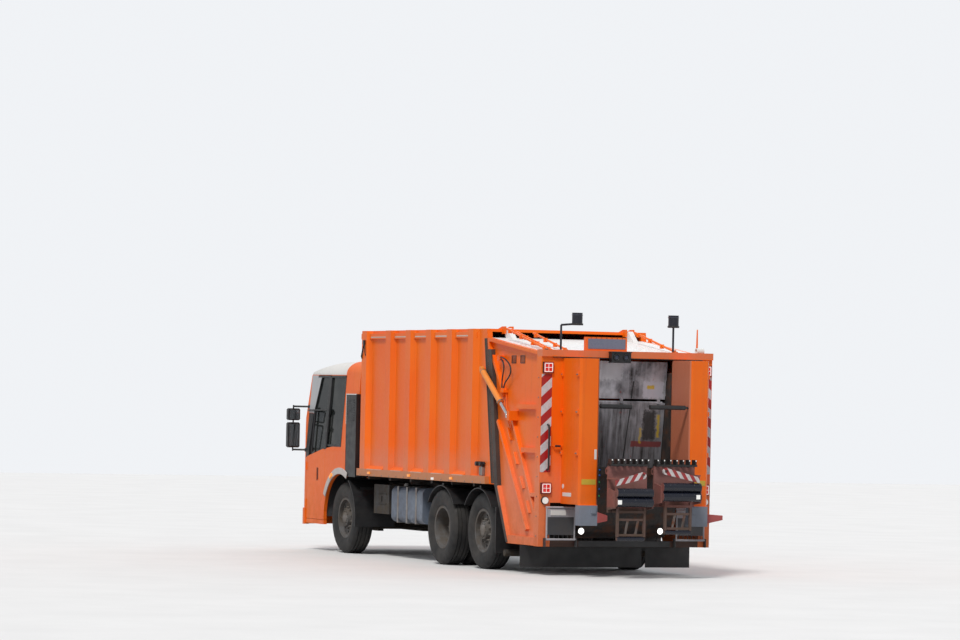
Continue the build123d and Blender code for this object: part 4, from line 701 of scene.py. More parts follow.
# Wheels: name, axle station, middle of each wheel, offset of the outer one's disc
WHEELS = [
    ("front", FRONT_AXLE_X, (1.03,), 0.04),
    ("drive", 3.45, (1.08, 0.745), -0.1),
    ("trailing", 2.1, (1.03,), 0.04),
]
TYRE_SIDES = 72
LUG_ROWS = (10, 11)
NUTS = 10
NUT_RING, BOLT_RING = 0.155, 0.098


def tyre_profile():
    """Offset and radius round one tyre: bulged walls, a rim band, and four grooves."""
    half = [
        (0.106, 0.2868), (0.113, 0.3), (0.127, 0.314), (0.129, 0.33), (0.141, 0.352),
        (0.149, 0.395), (0.149, 0.43), (0.143, 0.463), (0.141, 0.468), (0.137, 0.486),
        (0.124, 0.505), (0.108, 0.5185),
    ]
    groove_r = 0.506
    for edge in (0.084, 0.034):
        half += [(edge + 0.006, TYRE_R), (edge + 0.004, groove_r), (edge - 0.006, groove_r),
                 (edge - 0.008, TYRE_R)]
    return half + [(-u, r) for u, r in reversed(half)]


def build_tyres():
    profile = tyre_profile()
    last = len(profile) - 1

    def lugs(step, index, along, radius):
        """Every third step of the two shoulders is cut down, which leaves lugs."""
        if step % 3 == 0 and min(index, last - index) in LUG_ROWS:
            return along * 0.975, radius - 0.011
        return along, radius

    for place, x, middles, _ in WHEELS:
        for side, s in SIDES:
            mesh = Solid()
            for y in middles:
                mesh.turned((x, s * y, TYRE_R), (0, 1, 0), profile, TYRE_SIDES, lugs)
            wheel = f"{place}_{side}"
            mesh.piece(f"wheel_{wheel}", f"tread_{wheel}", "tyre", replaces=(f"tyre_{wheel}",))


def build_wheel_fittings():
    """Ten nuts on every visible disc, the hub's cover with its small bolts, and a valve."""
    cover = [(-0.002, 0), (-0.002, 0.082), (0.012, 0.08), (0.02, 0.06), (0.024, 0)]
    valve = ((0.235, 0.01), (0.205, 0.045))
    for place, x, middles, dish in WHEELS:
        disc, hub = middles[0] + dish + 0.016, middles[0] + dish + 0.075
        # part of a step, ring, limits on y, radii, sides
        rounds = [
            (0.5, NUT_RING, disc - 0.001, disc + 0.024, 0.017, 0.016, 6),
            (0.5, NUT_RING, disc + 0.02, disc + 0.04, 0.01, 0.009, 10),
            (0, BOLT_RING, hub - 0.001, hub + 0.012, 0.008, 0.008, 6),
        ]
        for side, s in SIDES:
            mesh = Solid()
            for k in range(NUTS):
                for shift, ring, y0, y1, r0, r1, sides in rounds:
                    a = tau * (k + shift) / NUTS
                    at = x + ring * cos(a), TYRE_R + ring * sin(a)
                    mesh.stud("y", s * y0, s * y1, *at, sides, r0, r1)
            mesh.turned((x, s * hub, TYRE_R), (0, s, 0), cover)
            ends = [(x + dx, s * (disc + dy), TYRE_R) for dx, dy in valve]
            mesh.rod(*ends, 0.006, 0.005, 8)
            mesh.piece(f"wheel_{place}_{side}", f"nuts_{place}_{side}", "nut", 0.0012)


# Cab
def wall_y(z):
    """Half the cab's width at a height: upright to the shoulder, then leaning in."""
    return BODY_HALF - max(0, z - SHOULDER_Z) * CAB_LEAN


def screen_x(z):
    """The station of the windscreen's outer face at a height."""
    return 9.06 - (z - 1.37) * 0.178


def door_edge(z):
    """The station of the door's front edge at a height."""
    return 8.79 - max(0, z - SHOULDER_Z) * 0.23 / (ROOF_EDGE_Z - SHOULDER_Z)


def build_window_trim():
    """Black frames between and round the side windows, and grey strips on the pillar before them: a
    painted reflection of the sky.
    """
    rear, mid, front, top = 7.372, 7.984, 8.83, 2.611
    on_door, past_door = -0.001, 0.003
    # strips of rows (rear x, front x, z), upwards
    cab_black = [
        [(mid, 8.028, 1.52), (mid, 8.028, top)],
        [(rear, 7.41, 1.58), (rear, 7.41, top)],
        [(rear, 8.028, 2.579), (rear, 8.028, top)],
        [(rear, 7.99, 1.56), (rear, 7.99, 1.59)],
        [(8.793, front, 1.385), (8.793, front, 1.5), (door_edge(2.045) + past_door, front, 2.045)],
    ]
    door_black = [
        [(8.0305, 8.077, 1.515), (8.0305, 8.077, 2.583)],
        [(8.0305, door_edge(z) + on_door, z) for z in (2.578, 2.61)],
        [(8.718, 8.7895, 1.405), (8.705, 8.7895, 1.5), (8.634, door_edge(2.04) + on_door, 2.04)],
    ]
    # grey strips on the pillar: painted reflection of the sky
    door_sky_reflection = [[(x, door_edge(z) + on_door, z) for x, z in ((8.636, 2.045), (8.426, 2.58))]]
    cab_sky_reflection = [[(door_edge(z) + past_door, x, z) for x, z in ((front, 2.05), (8.815, top))]]
    for name, body, strips, look in (
        ("window_trim", "chassis", cab_black, "plastic"),
        ("door_trim", "door", door_black, "plastic"),
        ("pillar_sky_reflection", "chassis", cab_sky_reflection, "pillar"),
        ("door_pillar_sky_reflection", "door", door_sky_reflection, "pillar"),
    ):
        for side, s in SIDES:
            mesh = Solid()
            for rows in strips:
                mesh.panel(rows, s)
            mesh.piece(f"door_{side}" if body == "door" else body, f"{name}_{side}", look, 0.0008)


def build_mirror_faces():
    """Mirror glass, its rubber edge, and the arms and clamps that hold the mirrors."""
    glass, arms = solids(2)
    x, arm_x, front_x = 8.99, 7.955, 8.85
    y0, y1, edge = BODY_HALF + 0.07, BODY_HALF + 0.22, 0.008
    for z0, z1 in ((1.545, 1.875), (1.95, 2.09)):
        glass.box(x - 0.003, x + 0.001, y0, y1, z0, z1)
        arms.border("x", x - 0.006, x + 0.001, y0 - edge, y1 + edge, z0 - edge, z1 + edge, edge)
    for z in (1.49, 2.14):
        arms.stud("y", wall_y(z) - 0.01, wall_y(z) + 0.014, front_x, z, 20, 0.03, 0.026)
    for x0, z0, z1 in ((arm_x, 1.545, 2.1), (8.56, 1.46, 2.09)):
        arms.pipe([(x0, wall_y(z) + 0.01, z) for z in (z0, z1)], 0.013, 8)
    arms.pipe([(arm_x, wall_y(2.1) + 0.01, 2.1), (front_x, wall_y(2.1) + 0.012, 2.085)], 0.013, 8)
    for z in (1.8, 2.06):
        y = wall_y(z)
        arms.box(arm_x - 0.03, arm_x + 0.03, y - 0.002, y + 0.03, z - 0.03, z + 0.03)
    mirror_all(
        "chassis", (glass, "mirror_glass", "mirror", 0),
        (arms, "mirror_frames", "plastic", 0.002),
    )


def arch_outline(inner, outer, start, end, steps=18):
    """A band round the front wheel in side view, between two angles, 0 forward and 90 up."""
    angles = [radians(start + (end - start) * k / steps) for k in range(steps + 1)]
    runs = [(outer, a) for a in angles] + [(inner, a) for a in reversed(angles)]
    return [(FRONT_AXLE_X + r * cos(a), TYRE_R + r * sin(a)) for r, a in runs]


def build_cab_sides():
    """Pale lips over the front wheel arches, a painted highlight; side lamps, door handles, and the
    intake's rim and slots.
    """
    flare, lamp, dark, rim = solids(4)
    # a pale lip round the front arch: painted highlight
    flare.prism(arch_outline(0.641, 0.735, 27, 116), "y", BODY_HALF - 0.002, BODY_HALF + 0.012)
    lamp.prism(arch_outline(0.662, 0.712, 58, 66, 4), "y", BODY_HALF + 0.011, BODY_HALF + 0.03)
    handle_x = 8.33
    dark.stud("z", 1.062, 1.218, handle_x, 1.243, 20, 0.009)
    for z in (1.07, 1.21):
        dark.stud("y", 1.225, 1.246, handle_x, z, 20, 0.008)
    dark.border("y", 1.2475, 1.2515, handle_x - 0.034, handle_x + 0.034, 1.046, 1.234, 0.006)
    tilt = Matrix.Rotation(radians(20), 3, "X")
    for k in range(9):
        z = 1.95 + 0.037 * k
        dark.box(6.85, 7.15, 1.243, 1.252, z, z + 0.014, tilt)
    rim.box(6.772, 7.182, 1.232, 1.25, 2.33, 2.344)
    rim.box(7.174, 7.182, 1.238, 1.25, 1.9, 2.335)
    mirror_all(
        "chassis", (flare, "arch_flares", "flare", 0.004),
        (lamp, "side_lamps_cab", "amber_lens", 0.003), (rim, "intake_rims", "pale", 0.002),
        (dark, "cab_side_fittings", "plastic", 0.001),
    )


def build_cab_front():
    """Wipers, screen seal, headlamp bowls, grille mesh, blank plate and marker lamps."""
    dark, bowls, amber, plate, mesh = solids(5)
    pin_z, bowl_z = 1.395, 0.52
    pin_x = screen_x(pin_z)
    for pivot, tip, root in ((-0.28, -0.96, -0.2), (0.52, -0.12, 0.66)):
        blade = [(screen_x(z) + 0.03, y, z) for y, z in ((tip, 1.53), (root, 1.47))]
        mid = tuple((a + b) / 2 for a, b in zip(*blade))
        dark.pipe(blade, 0.009, 6)
        elbow = (screen_x(1.42) + 0.035, pivot, 1.415)
        dark.pipe([(pin_x + 0.004, pivot, pin_z), elbow, mid], 0.01, 6)
        dark.stud("x", pin_x - 0.004, pin_x + 0.03, pivot, pin_z, 20, 0.018)
    low, high = 1.422, 2.558
    corners = [(1.118, low), (1.058, high), (-1.058, high), (-1.118, low), (1.118, low)]
    dark.pipe([(screen_x(z) - 0.004, y, z) for y, z in corners], 0.01, 6)
    bowl = [(0, 0), (0, 0.052), (0.022, 0.058), (0.022, 0.053), (0.006, 0.03), (0.006, 0)]
    for _, s in SIDES:
        for y in (0.775, 0.905):
            bowls.turned((9.047, s * y, bowl_z), (1, 0, 0), bowl, 28)
            bowls.stud("x", 9.052, 9.066, s * y, bowl_z, 12, 0.012, 0.008)
        amber.box(9.05, 9.068, s * 0.712, s * 0.728, 0.475, 0.565)
        amber.box(9.034, 9.046, s * 1, s * 1.06, 2.615, 2.64)
        mesh.box(9.008, 9.0195, s * 0.02, s * 0.575, 0.862, 1.15)
        for k in range(13):
            y = s * (0.045 + 0.042 * k)
            mesh.box(9.004, 9.01, y - 0.003, y + 0.003, 0.87, 1.142)
    plate.box(9.088, 9.095, -0.26, 0.26, 0.395, 0.505)
    dark.border("x", 9.086, 9.094, -0.27, 0.27, 0.385, 0.515, 0.01)
    make_all(
        "chassis", (dark, "screen_seal_and_wipers", "rubber"), (bowls, "headlamp_bowls", "chrome"),
        (amber, "front_markers", "amber_lens", 0.002), (mesh, "grille_mesh", "plastic"),
        (plate, "front_plate", "plate_white", 0.002),
    )


def build_cab_inside():
    """Head restraints, seat seams, belts, and the instrument hood."""
    cloth, dark = solids(2)
    for y in (0.56, -0.56):
        cloth.box(7.47, 7.56, y - 0.14, y + 0.14, 2.23, 2.4)
        for stalk_y in (y - 0.06, y + 0.06):
            dark.stud("z", 2.18, 2.26, 7.515, stalk_y, 20, 0.008)
        for k in range(4):
            x = 7.7 + 0.1 * k
            cloth.box(x, x + 0.085, y - 0.225, y + 0.225, 1.546, 1.56)
        belt = [(7.56, y + 0.235, 2.15), (7.64, y + 0.242, 1.9), (7.72, y + 0.246, 1.58)]
        dark.pipe(belt, 0.012, 6)
    dark.prism([(8.6, 1.335), (8.76, 1.4), (8.84, 1.4), (8.84, 1.34)], "y", 0.33, 0.79)
    dark.box(8.6, 8.76, -0.1, 0.18, 1.345, 1.362)
    make_all(
        "chassis", (cloth, "seat_covers", "fabric", 0.012, 3),
        (dark, "cab_inside_fittings", "trim", 0.004),
    )


# Container
RIBS = (2.44, 3.21, 3.985, 4.76, 5.535, 6.485)


def seam_x(z):
    """The station of the container's slanted rear edge at a height."""
    return on_line(z, (1.4, 1.7), (3.16, 1.995))


def seam_strip(near, far, low, high):
    """An upright strip along the seam in side view, from near to far ahead of it."""
    return [(seam_x(z) + w, z) for w, z in ((near, low), (far, low), (far, high), (near, high))]


def build_container_sides():
    """Side markers, rail bolts, pale strips that paint highlights on the ledges, the tie hook, the
    valve and the seals.
    """
    amber, white, edges, bolts, dark, seal, gate_seal = solids(7)
    lens_y = (BODY_HALF - 0.001, BODY_HALF + 0.014)
    for x in (6.19, 4.62, 3.04):
        amber.box(x - 0.045, x + 0.045, *lens_y, 1.186, 1.222)
    white.box(3.68, 3.76, *lens_y, 1.166, 1.2)
    # pale strips on the top rail's lip and on the bottom rail's top: painted highlights
    for near, far in zip(RIBS, RIBS[1:]):
        edges.box(near + 0.165, far - 0.185, 1.2145, 1.217, 3.158, 3.176)
        edges.box(near + 0.19, far - 0.19, 1.249, 1.2515, 1.252, 1.262)
    for k in range(17):
        x = 1.98 + 0.285 * k
        bolts.stud("y", BODY_HALF - 0.001, BODY_HALF + 0.006, x, 1.176, 6, 0.01, 0.009)
    dark.box(6.43, 6.49, 1.249, 1.276, 3.065, 3.125)
    hook = [(6.46, 1.262, 3.08), (6.5, 1.268, 2.98), (6.56, 1.262, 2.89), (6.54, 1.258, 2.86)]
    dark.pipe(hook, 0.011, 8)
    dark.pipe([(6.44, 1.262, 3.08), (6.42, 1.264, 2.96), (6.41, 1.258, 2.9)], 0.007, 6)
    for x in (2.04, 2.18):
        dark.box(x - 0.035, x + 0.035, 1.179, 1.235, 1.395, 1.455)
        dark.stud("y", 1.23, 1.25, x, 1.425, 16, 0.03, 0.028)
    line = [(2.25, 1.205, 1.445), (2.18, 1.215, 1.445), (2.04, 1.215, 1.445), (1.96, 1.2, 1.43)]
    dark.pipe(line, 0.013, 8)
    bolts.box(2, 2.11, 1.179, 1.222, 1.266, 1.38)
    bolts.stud("z", 1.37, 1.41, 2.055, 1.2, 14, 0.02, 0.018)
    seal.prism(seam_strip(0.004, 0.095, 1.17, 3.13), "y", 1.1845, 1.1895)
    seal.pipe([(seam_x(1.17) + 0.07, 1.192, 1.18), (seam_x(3.12) + 0.07, 1.192, 3.12)], 0.009, 8)
    gate_seal.prism(seam_strip(-0.12, -0.006, 1.14, 2.98), "y", 1.1295, 1.1895)
    foot = [(1.56, 1.14), (1.64, 1.14), (1.216, 0.4), (1.15, 0.4)]
    gate_seal.prism(foot, "y", 1.1295, 1.189)
    mirror_all("tailgate", (gate_seal, "gate_seals", "seal", 0.002))
    mirror_all(
        "chassis", (amber, "side_markers", "amber_lens", 0.003),
        (white, "side_reflectors", "white_lens", 0.003), (edges, "ledge_edges", "dusty", 0),
        (bolts, "rail_fittings", "steel", 0.001),
        (dark, "side_hooks_and_valves", "plastic", 0.003), (seal, "rear_seals", "seal", 0.001),
    )


def build_underbody():
    """Tank straps and cap, box latches, brake chambers and air lines."""
    steel, dark = solids(2)
    for x in (4.7, 5.05, 5.4):
        steel.border("x", x - 0.03, x + 0.03, 0.466, 1.104, 0.516, 1.034, 0.006)
    steel.stud("z", 1.025, 1.065, 5.55, 0.9, 24, 0.05, 0.046)
    steel.stud("z", 1.06, 1.075, 5.55, 0.9, 8, 0.036, 0.034)
    for z in (0.76, 0.9):
        dark.box(5.9, 6.3, 1.079, 1.088, z, z + 0.012)
    dark.box(6.08, 6.12, 1.079, 1.096, 0.8, 0.87)
    for x in (3.05, 1.7):
        for _, s in SIDES:
            for near, far, radius in ((0, 0.18, 0.078), (0.085, 0.1, 0.086)):
                dark.stud("x", x - near, x - far, s * 0.33, 0.64, 24, radius)
            dark.box(x - 0.02, x + 0.32, s * 0.3, s * 0.36, 0.56, 0.6)
    for y in (0.408, 0.42):
        dark.pipe([(1.75, y, 0.96), (4.2, y, 0.96), (4.3, y, 0.99), (6.6, y, 0.99)], 0.006, 6)
    make_all(
        "chassis", (steel, "tank_straps", "steel", 0.002),
        (dark, "underbody_fittings", "chassis", 0.002),
    )


# Tailgate
LAMP_Y = 1.15
HINGE_Z = (2.65, 2.16, 1.62)


def build_post_plates():
    """Warning plates, crosses on the square lamps, rims of the round ones, and the handle."""
    plates, white, dark = solids(3)
    plates.box(-0.0025, 0.001, 1.086, 1.234, 1.36, 2.65)
    for z in (2.735, 1.15):
        white.border("x", -0.0385, -0.0345, 1.091, 1.209, z - 0.059, z + 0.059, 0.01)
        for dy, dz in ((0.05, 0.003), (0.003, 0.05)):
            white.box(-0.038, -0.0345, LAMP_Y - dy, LAMP_Y + dy, z - dz, z + dz)
        dark.border("x", -0.03, 0, 1.077, 1.223, z - 0.073, z + 0.073, 0.007)
        for off in (-0.057, 0.057):
            dark.stud("x", -0.04, -0.036, LAMP_Y + off, z + off, 8, 0.005)
    rim = [(-0.002, 0.0455), (-0.002, 0.054), (0.03, 0.05), (0.034, 0.0455)]
    dark.turned((0, 1.16, 0.99), (-1, 0, 0), rim, 28)
    handle = [(0, 1.39), (-0.045, 1.4), (-0.056, 1.44), (-0.056, 1.93), (-0.045, 1.975), (0, 1.985)]
    dark.pipe([(x, 1.135, z) for x, z in handle], 0.013, 12)
    dark.stud("y", 0.965, 1.045, -0.04, 1.705, 16, 0.0135)
    dark.box(-0.031, 0, 0.02, 1.08, 2.868, 2.8805)
    mirror_all(
        "tailgate", (plates, "warning_plates", "stripes", 0),
        (white, "lamp_crosses", "white_lens", 0),
        (dark, "lamp_rims_and_handles", "plastic", 0.001),
    )


def build_gate_fittings():
    """Hinges on the cheeks, vents, bands, the control strip, bare labels and wing plates."""
    lugs, bolts, dark, band, rose, strip, blue, green, white, wing = solids(10)
    for z in HINGE_Z:
        lugs.box(-0.545, -0.485, 0.926, 0.95, z - 0.03, z + 0.03)
        lugs.box(-0.034, 0.001, 0.929, 0.953, z - 0.03, z + 0.03)
        for x, y0, y1 in ((-0.53, 0.949, 0.958), (-0.5, 0.949, 0.958), (-0.018, 0.952, 0.96)):
            bolts.stud("y", y0, y1, x, z, 6, 0.009)
    for x in (0.88, 1.18):
        dark.border("y", 1.129, 1.136, x - 0.075, x + 0.075, 2.79, 2.895, 0.008)
        for k in range(6):
            z = 2.804 + 0.014 * k
            dark.box(x - 0.067, x + 0.067, 1.129, 1.134, z, z + 0.006)
    for k in range(9):
        bolts.stud("y", 1.2395, 1.2465, 0.075, 0.52 + 0.26 * k, 6, 0.009)
    band.box(-0.5835, -0.579, 0.69, 0.892, 1.215, 1.285)
    rose.box(0.01, 0.016, 0.672, 1.078, 0.69, 0.706)
    mirror_all(
        "tailgate", (lugs, "cheek_hinges", "gate", 0.003), (bolts, "gate_bolts", "steel", 0.001),
        (dark, "gate_vents", "plastic", 0.001), (band, "cheek_bands", "yellow", 0.001),
        (rose, "panel_ledges", "rose", 0.002),
    )

    key_y = 0.636
    strip.box(-0.577, -0.5, 0.62, 0.652, 1.02, 1.46)
    for z, keys in ((1.41, blue), (1.34, blue), (1.25, green), (1.16, blue), (1.07, green)):
        keys.stud("x", -0.576, -0.586, key_y, z, 16, 0.011, 0.01)
    strip.stud("z", 1.455, 1.56, -0.54, key_y, 20, 0.007)
    strip.rod((-0.54, key_y, 1.56), (-0.54, 0.652, 1.575), 0.007)
    white.box(-0.5835, -0.579, 0.684, 0.716, 1.545, 1.675)
    white.box(-0.34, -0.06, 0.9285, 0.932, 1.05, 1.1)
    white.stud("y", 0.929, 0.933, -0.07, 1.18, 24, 0.032, 0.031)
    white.box(-0.055, -0.048, 0.87, 1.09, 0.797, 0.862)
    side, near = 0.6655, -0.93
    # corners (y, z), then the limits on x
    for outline, x0, x1 in (
        ([(near, 0.7), (-1.235, 0.765), (-1.235, 0.825), (near, 0.845)], -0.42, -0.405),
        ([(near, 0.71), (-0.965, 0.715), (-0.965, 0.83), (near, 0.835)], -0.406, -0.3),
        ([(side, 0.715), (0.52, 0.745), (0.52, 0.815), (side, 0.86)], -0.6, -0.586),
        ([(side, 0.725), (0.64, 0.73), (0.64, 0.845), (side, 0.85)], -0.587, -0.5),
    ):
        wing.prism(outline, "x", x0, x1)
    make_all(
        "tailgate", (strip, "control_strip", "plastic", 0.004),
        (blue, "control_keys_blue", "blue", 0.001), (green, "control_keys_green", "green", 0.001),
        (white, "bare_labels", "plate_white", 0.001), (wing, "wing_plates", "wing", 0.003),
    )


def build_work_lamps():
    """Two round work lamps low on the tailgate, and the rubber flaps on their bar; the left sheet
    runs on across the middle as a dark sheet for the shade under the truck.
    """
    glow, housing, sheets, bar = solids(4)
    face = [(0, 0), (0, 0.041), (0.005, 0.038), (0.01, 0)]
    shell = [(-0.001, 0), (-0.001, 0.041), (0.008, 0.041), (0.008, 0.046), (-0.014, 0.046),
             (-0.034, 0.028), (-0.04, 0)]
    for centre in ((-0.594, 0.89, 0.61), (-0.104, -0.47, 0.6)):
        glow.turned(centre, (-1, 0, 0), face, 28)
        housing.turned(centre, (-1, 0, 0), shell, 28)
    housing.box(-0.592, -0.578, 0.884, 0.896, 0.65, 0.685)
    stalk = [(-0.08, 0.6), (-0.055, 0.56), (0.02, 0.47), (0.03, 0.455)]
    housing.pipe([(x, -0.47, z) for x, z in stalk], 0.007, 8)
    bolt_limit = 1.1
    # rubber flaps at both sides; the left one runs on across the middle, a dark sheet for the shade
    # under the truck
    for y0, y1 in ((-1.24, -0.585), (-0.53, 1.24)):
        sheets.box(0.596, 0.604, y0, y1, 0.09, 0.385)
        first, last = max(y0, -bolt_limit) + 0.04, min(y1, bolt_limit) - 0.04
        for k in range(6):
            bar.stud("x", 0.59, 0.61, first + (last - first) * k / 5, 0.366, 6, 0.01)
    bar.box(0.58, 0.596, -1.125, 1.125, 0.36, 0.44)
    make_all(
        "tailgate", (glow, "work_lamp_glass", "work_lamp"),
        (housing, "work_lamp_shells", "plastic"), (sheets, "rear_curtain_sheets", "rubber", 0.001),
        (bar, "curtain_bar", "chassis", 0.002),
    )


def build_packer_lines():
    """The dark slanting joint down the packer's plates, and a black sheet over the low beam:
    painted shade under the tailgate.
    """
    for name, body, ends in (
        ("carriage_joint", "carriage", ((0.1346, -0.156, 2.58), (0.1665, -0.14, 2.352))),
        ("blade_joint", "packer_blade", ((0.1683, -0.132, 2.262), (0.2613, -0.078, 1.56))),
    ):
        line = Solid()
        corners = ((-0.008, 0.001), (0.008, 0.001), (0.008, -0.003), (-0.008, -0.003))
        line.skin([st(x + dx, y + dy, z) for x, y, z in ends for dy, dx in corners], 4)
        line.piece(body, name, "rubber")
    # a black sheet over the low beam: painted shade
    cover = Solid()
    cover.box(-0.004, 0.001, -0.664, 0.664, 0.386, 0.464)
    cover.piece("tailgate", "low_beam_shade_sheet", "rubber", 0.001)


def build_steps():
    """Grating on the folding steps."""
    bar_x = -0.04
    for side, s in SIDES:
        grid = Solid()
        for k in range(6):
            grid.stud("z", 0.495, 0.785, bar_x, s * (0.775 + 0.064 * k), 8, 0.004)
        grid.stud("y", s * 0.735, s * 1.145, bar_x, 0.64, 8, 0.005)
        grid.piece(f"step_{side}", f"step_bars_{side}", "tube")


def roof_z(x):
    """The height of the tailgate's sloping roof at a station."""
    return on_line(x, (0.19, 2.93), (1.7, 3.24))


def build_roof_fittings():
    """Lenses of the roof's lamps and camera, domes of the beacons, and the pipes on its slope."""
    dark, blue, white, pipes, screen = solids(5)
    dome = [(0, 0.074), (0.012, 0.076), (0.014, 0.0715), (0, 0.0702)]
    base = [(0, 0.018), (0, 0.078), (0.022, 0.08), (0.03, 0.0705), (0.016, 0.018)]
    for y in (0.7, -0.7):
        blue.turned((0.09, y, 3.43), (0, 0, 1), dome, 36)
        dark.turned((0.09, y, 3.3), (0, 0, 1), base, 36)
    screen.box(0.024, 0.031, 0.025, 0.565, 2.995, 3.128)
    for k in range(7):
        dark.stud("x", 0.031, 0.024, 0.07 + 0.075 * k, 3.139, 8, 0.005)
    rim = [(-0.002, 0.03), (-0.002, 0.048), (0.016, 0.045), (0.016, 0.036)]
    eye = [(-0.001, 0), (-0.001, 0.034), (0.006, 0.028), (0.01, 0)]
    for y in (0.08, 0.22):
        dark.turned((-0.13, y, 2.888), (-1, 0, 0), rim, 24)
        blue.turned((-0.13, y, 2.888), (-1, 0, 0), eye, 24)
    dark.box(-0.15, -0.03, 0.004, 0.296, 2.952, 2.963)
    dark.box(-0.034, -0.026, 0.06, 0.24, 2.87, 2.9)
    white.stud("y", -1.15, -1.06, 0.1, 2.995, 24, 0.043)
    dark.box(0.085, 0.115, -1.125, -1.085, 2.955, 2.975)
    collar = [(-0.001, 0.04), (0.006, 0.047), (0.014, 0.044), (0.016, 0.03), (-0.001, 0.03)]
    white.turned((0.1, -1.06, 2.995), (0, 1, 0), collar, 24)
    fin = [(0.285, 2.94), (0.285, 3.08), (0.292, 3.29), (0.318, 3.29), (0.33, 3.08), (0.345, 2.95)]
    pipes.prism(fin, "y", -1.16, -1.152)
    cap = [(0, 0), (0, 0.024), (0.055, 0.027), (0.06, 0.02), (0.06, 0)]
    dark.turned((0.205, 1.085, 2.925), (0, 0, 1), cap, 20)
    foot = 0.23
    for y, top in ((1.052, 1.64), (0.997, 1.59), (0.772, 1.38), (-0.832, 1.6)):
        pipes.pipe([(x, y, roof_z(x) + 0.03) for x in (top, 1.15, 0.7, foot)], 0.015, 12)
        for t in (0.08, 0.36, 0.64, 0.92):
            x = top + (foot - top) * t
            pipes.box(x - 0.02, x + 0.02, y - 0.024, y + 0.024, roof_z(x) - 0.01, roof_z(x) + 0.047)
    make_all(
        "tailgate", (dark, "roof_lamp_parts", "plastic", 0.001), (blue, "roof_lenses", "beacon"),
        (white, "roof_sensor", "plate_white", 0.001), (pipes, "roof_pipes", "gate", 0.002),
        (screen, "roof_display", "display", 0.001),
    )


# Lifters: side, limits of the comb's and the rollers' y, roller heights, ladder y, ladder z,
# reflector y
LIFTERS = [
    ("left", (0.045, 0.64), (0.085, 0.6), (1.122, 1.002), (0.16, 0.57), (0.55, 0.8),
     (0.545, 0.6)),
    ("right", (-0.64, -0.015), (-0.6, -0.055), (1.2, 1.08), (-0.5, -0.11), (0.64, 0.88),
     (-0.575, -0.52)),
]


def build_lifter_details():
    """Rubber sleeves on the lifters' rollers, reflectors, slanted bars and white tooth tips."""
    roller_x, low_roller_x = -1.04, -0.99
    for side, (comb0, comb1), (y0, y1), heights, (ly0, ly1), (z0, z1), reflector in LIFTERS:
        sleeves, white, bars = solids(3)
        for z in heights:
            sleeves.stud("y", y0 + 0.002, y1 - 0.002, roller_x, z, 32, 0.0613)
            for y in (y0 + 0.1, (y0 + y1) / 2, y1 - 0.1):
                sleeves.stud("y", y - 0.006, y + 0.006, roller_x, z, 32, 0.063)
        sleeves.stud("y", ly0 + 0.008, ly1 - 0.008, low_roller_x, z0 - 0.0253, 24, 0.026)
        white.box(-1.1045, -1.096, *reflector, heights[1] - 0.028, heights[1] + 0.028)
        for k in range(7):
            y = comb0 + 0.03 + (comb1 - comb0 - 0.08) * k / 6
            white.box(-0.9015, -0.898, y + 0.003, y + 0.017, 1.54, 1.556)
        low, high = z0 + 0.02, z1 - 0.02
        for share in (0.3, 0.66):
            y = ly0 + (ly1 - ly0) * share
            bar = [(y, low), (y + 0.032, low), (y - 0.01, high), (y - 0.042, high)]
            bars.prism(bar, "x", -0.996, -0.984)
        body = f"lifter_{side}"
        make_all(
            body, (sleeves, f"roller_sleeves_{side}", "roller", 0.002),
            (white, f"lifter_reflectors_{side}", "white_lens", 0.0006),
            (bars, f"ladder_bars_{side}", "rusty", 0.001),
        )


# Lift cylinders and their hoses
BARREL_PIN = (2.05, 2.71)
BARREL_WAY = (-0.8368, -0.5475)
BARREL_Y = 1.236


def along_barrel(run, rise=0):
    """A station (x, z) on the left lift cylinder's line, rise off it upwards."""
    (x, z), (u, w) = BARREL_PIN, BARREL_WAY
    return x + u * run + w * rise, z + w * run - u * rise


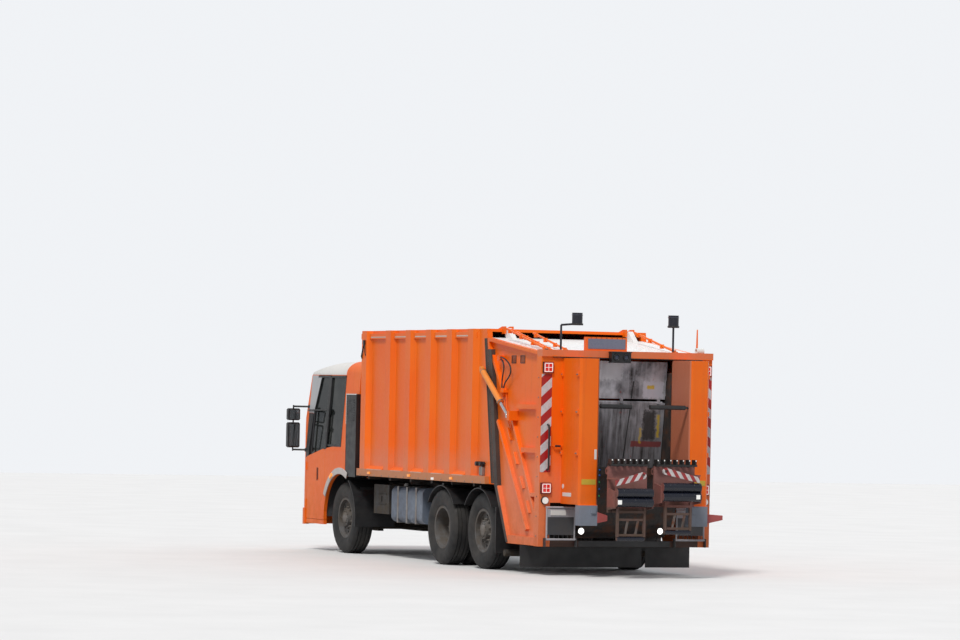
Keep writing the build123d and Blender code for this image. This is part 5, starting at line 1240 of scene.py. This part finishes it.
def build_lift_details():
    """The gland, the port blocks and the small pipe of each lift cylinder."""
    bright, ports = solids(2)
    u, w = BARREL_WAY
    bore = 0.0402
    for run, radius, length, back in ((0.8, 0.0435, 0.019, 0.0195), (0.06, 0.0425, 0.01, 0.01)):
        x, z = along_barrel(run)
        ring = [(0, bore), (0, radius), (length, radius), (back, bore)]
        bright.turned((x, BARREL_Y, z), (u, 0, w), ring)
    tilt = Matrix.Rotation(atan2(-w, u), 3, "Y")
    for run in (0.11, 0.74):
        x, z = along_barrel(run, -0.045)
        port_y = (BARREL_Y - 0.014, BARREL_Y + 0.014)
        ports.box(x - 0.018, x + 0.018, *port_y, z - 0.013, z + 0.013, tilt)
    path = [along_barrel(run, -0.056) for run in (0.11, 0.16, 0.42, 0.7, 0.74)]
    ports.pipe([(x, BARREL_Y, z) for x, z in path], 0.006, 8)
    mirror_all(
        "lift_barrels", (bright, "barrel_rings", "steel", 0),
        (ports, "barrel_ports", "lift_orange", 0.002),
    )


HOSE_Y = 1.188
HOSES = [
    ("hose_front", [(1.53, 2.845), (1.45, 2.845), (1.38, 2.74), (1.44, 2.6), (1.45, 2.51),
                    (1.45, 2.43)]),
    ("hose_rear", [(1.53, 2.872), (1.45, 2.872), (1.25, 2.81), (1.14, 2.72), (1.18, 2.62),
                   (1.39, 2.51), (1.39, 2.43)]),
]


def build_hoses():
    """Two hydraulic hoses on the left of the tailgate, between a port plate and a pipe clamp."""
    ends = Solid()
    for name, route in HOSES:
        data = bpy.data.curves.new(name, "CURVE")
        data.dimensions = "3D"
        data.bevel_depth, data.bevel_resolution = 0.01, 4
        data.resolution_u = 16
        data.use_fill_caps = True
        spline = data.splines.new("NURBS")
        spline.points.add(len(route) - 1)
        for point, (x, z) in zip(spline.points, route):
            point.co = (*st(x, HOSE_Y, z), 1)
        spline.order_u = 3
        spline.use_endpoint_u = True
        obj = linked(name, data)
        data.materials.append(M["rubber"])
        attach(obj, "tailgate")
        foot_x, top_z = route[-1][0], route[0][1]
        ends.stud("z", 2.43, 2.456, foot_x, HOSE_Y, 6, 0.0135)
        ends.stud("x", 1.532, 1.506, HOSE_Y, top_z, 6, 0.0125)
        pipe = [(foot_x, 1.15, 2.4), (foot_x - 0.02, 1.146, 2.2), (foot_x - 0.22, 1.144, 1.9)]
        ends.pipe(pipe, 0.008, 8)
    ends.box(1.528, 1.6, 1.128, 1.202, 2.826, 2.894)
    ends.box(1.365, 1.475, 1.128, 1.202, 2.395, 2.432)
    ends.piece("tailgate", "hose_ends", "gate", 0.002, slot="bare_steel")


for job in (
    build_tyres, build_wheel_fittings, build_window_trim, build_mirror_faces, build_cab_sides,
    build_cab_front, build_cab_inside, build_container_sides, build_underbody, build_post_plates,
    build_gate_fittings, build_work_lamps, build_packer_lines, build_steps, build_roof_fittings,
    build_lifter_details, build_lift_details, build_hoses,
):
    job()
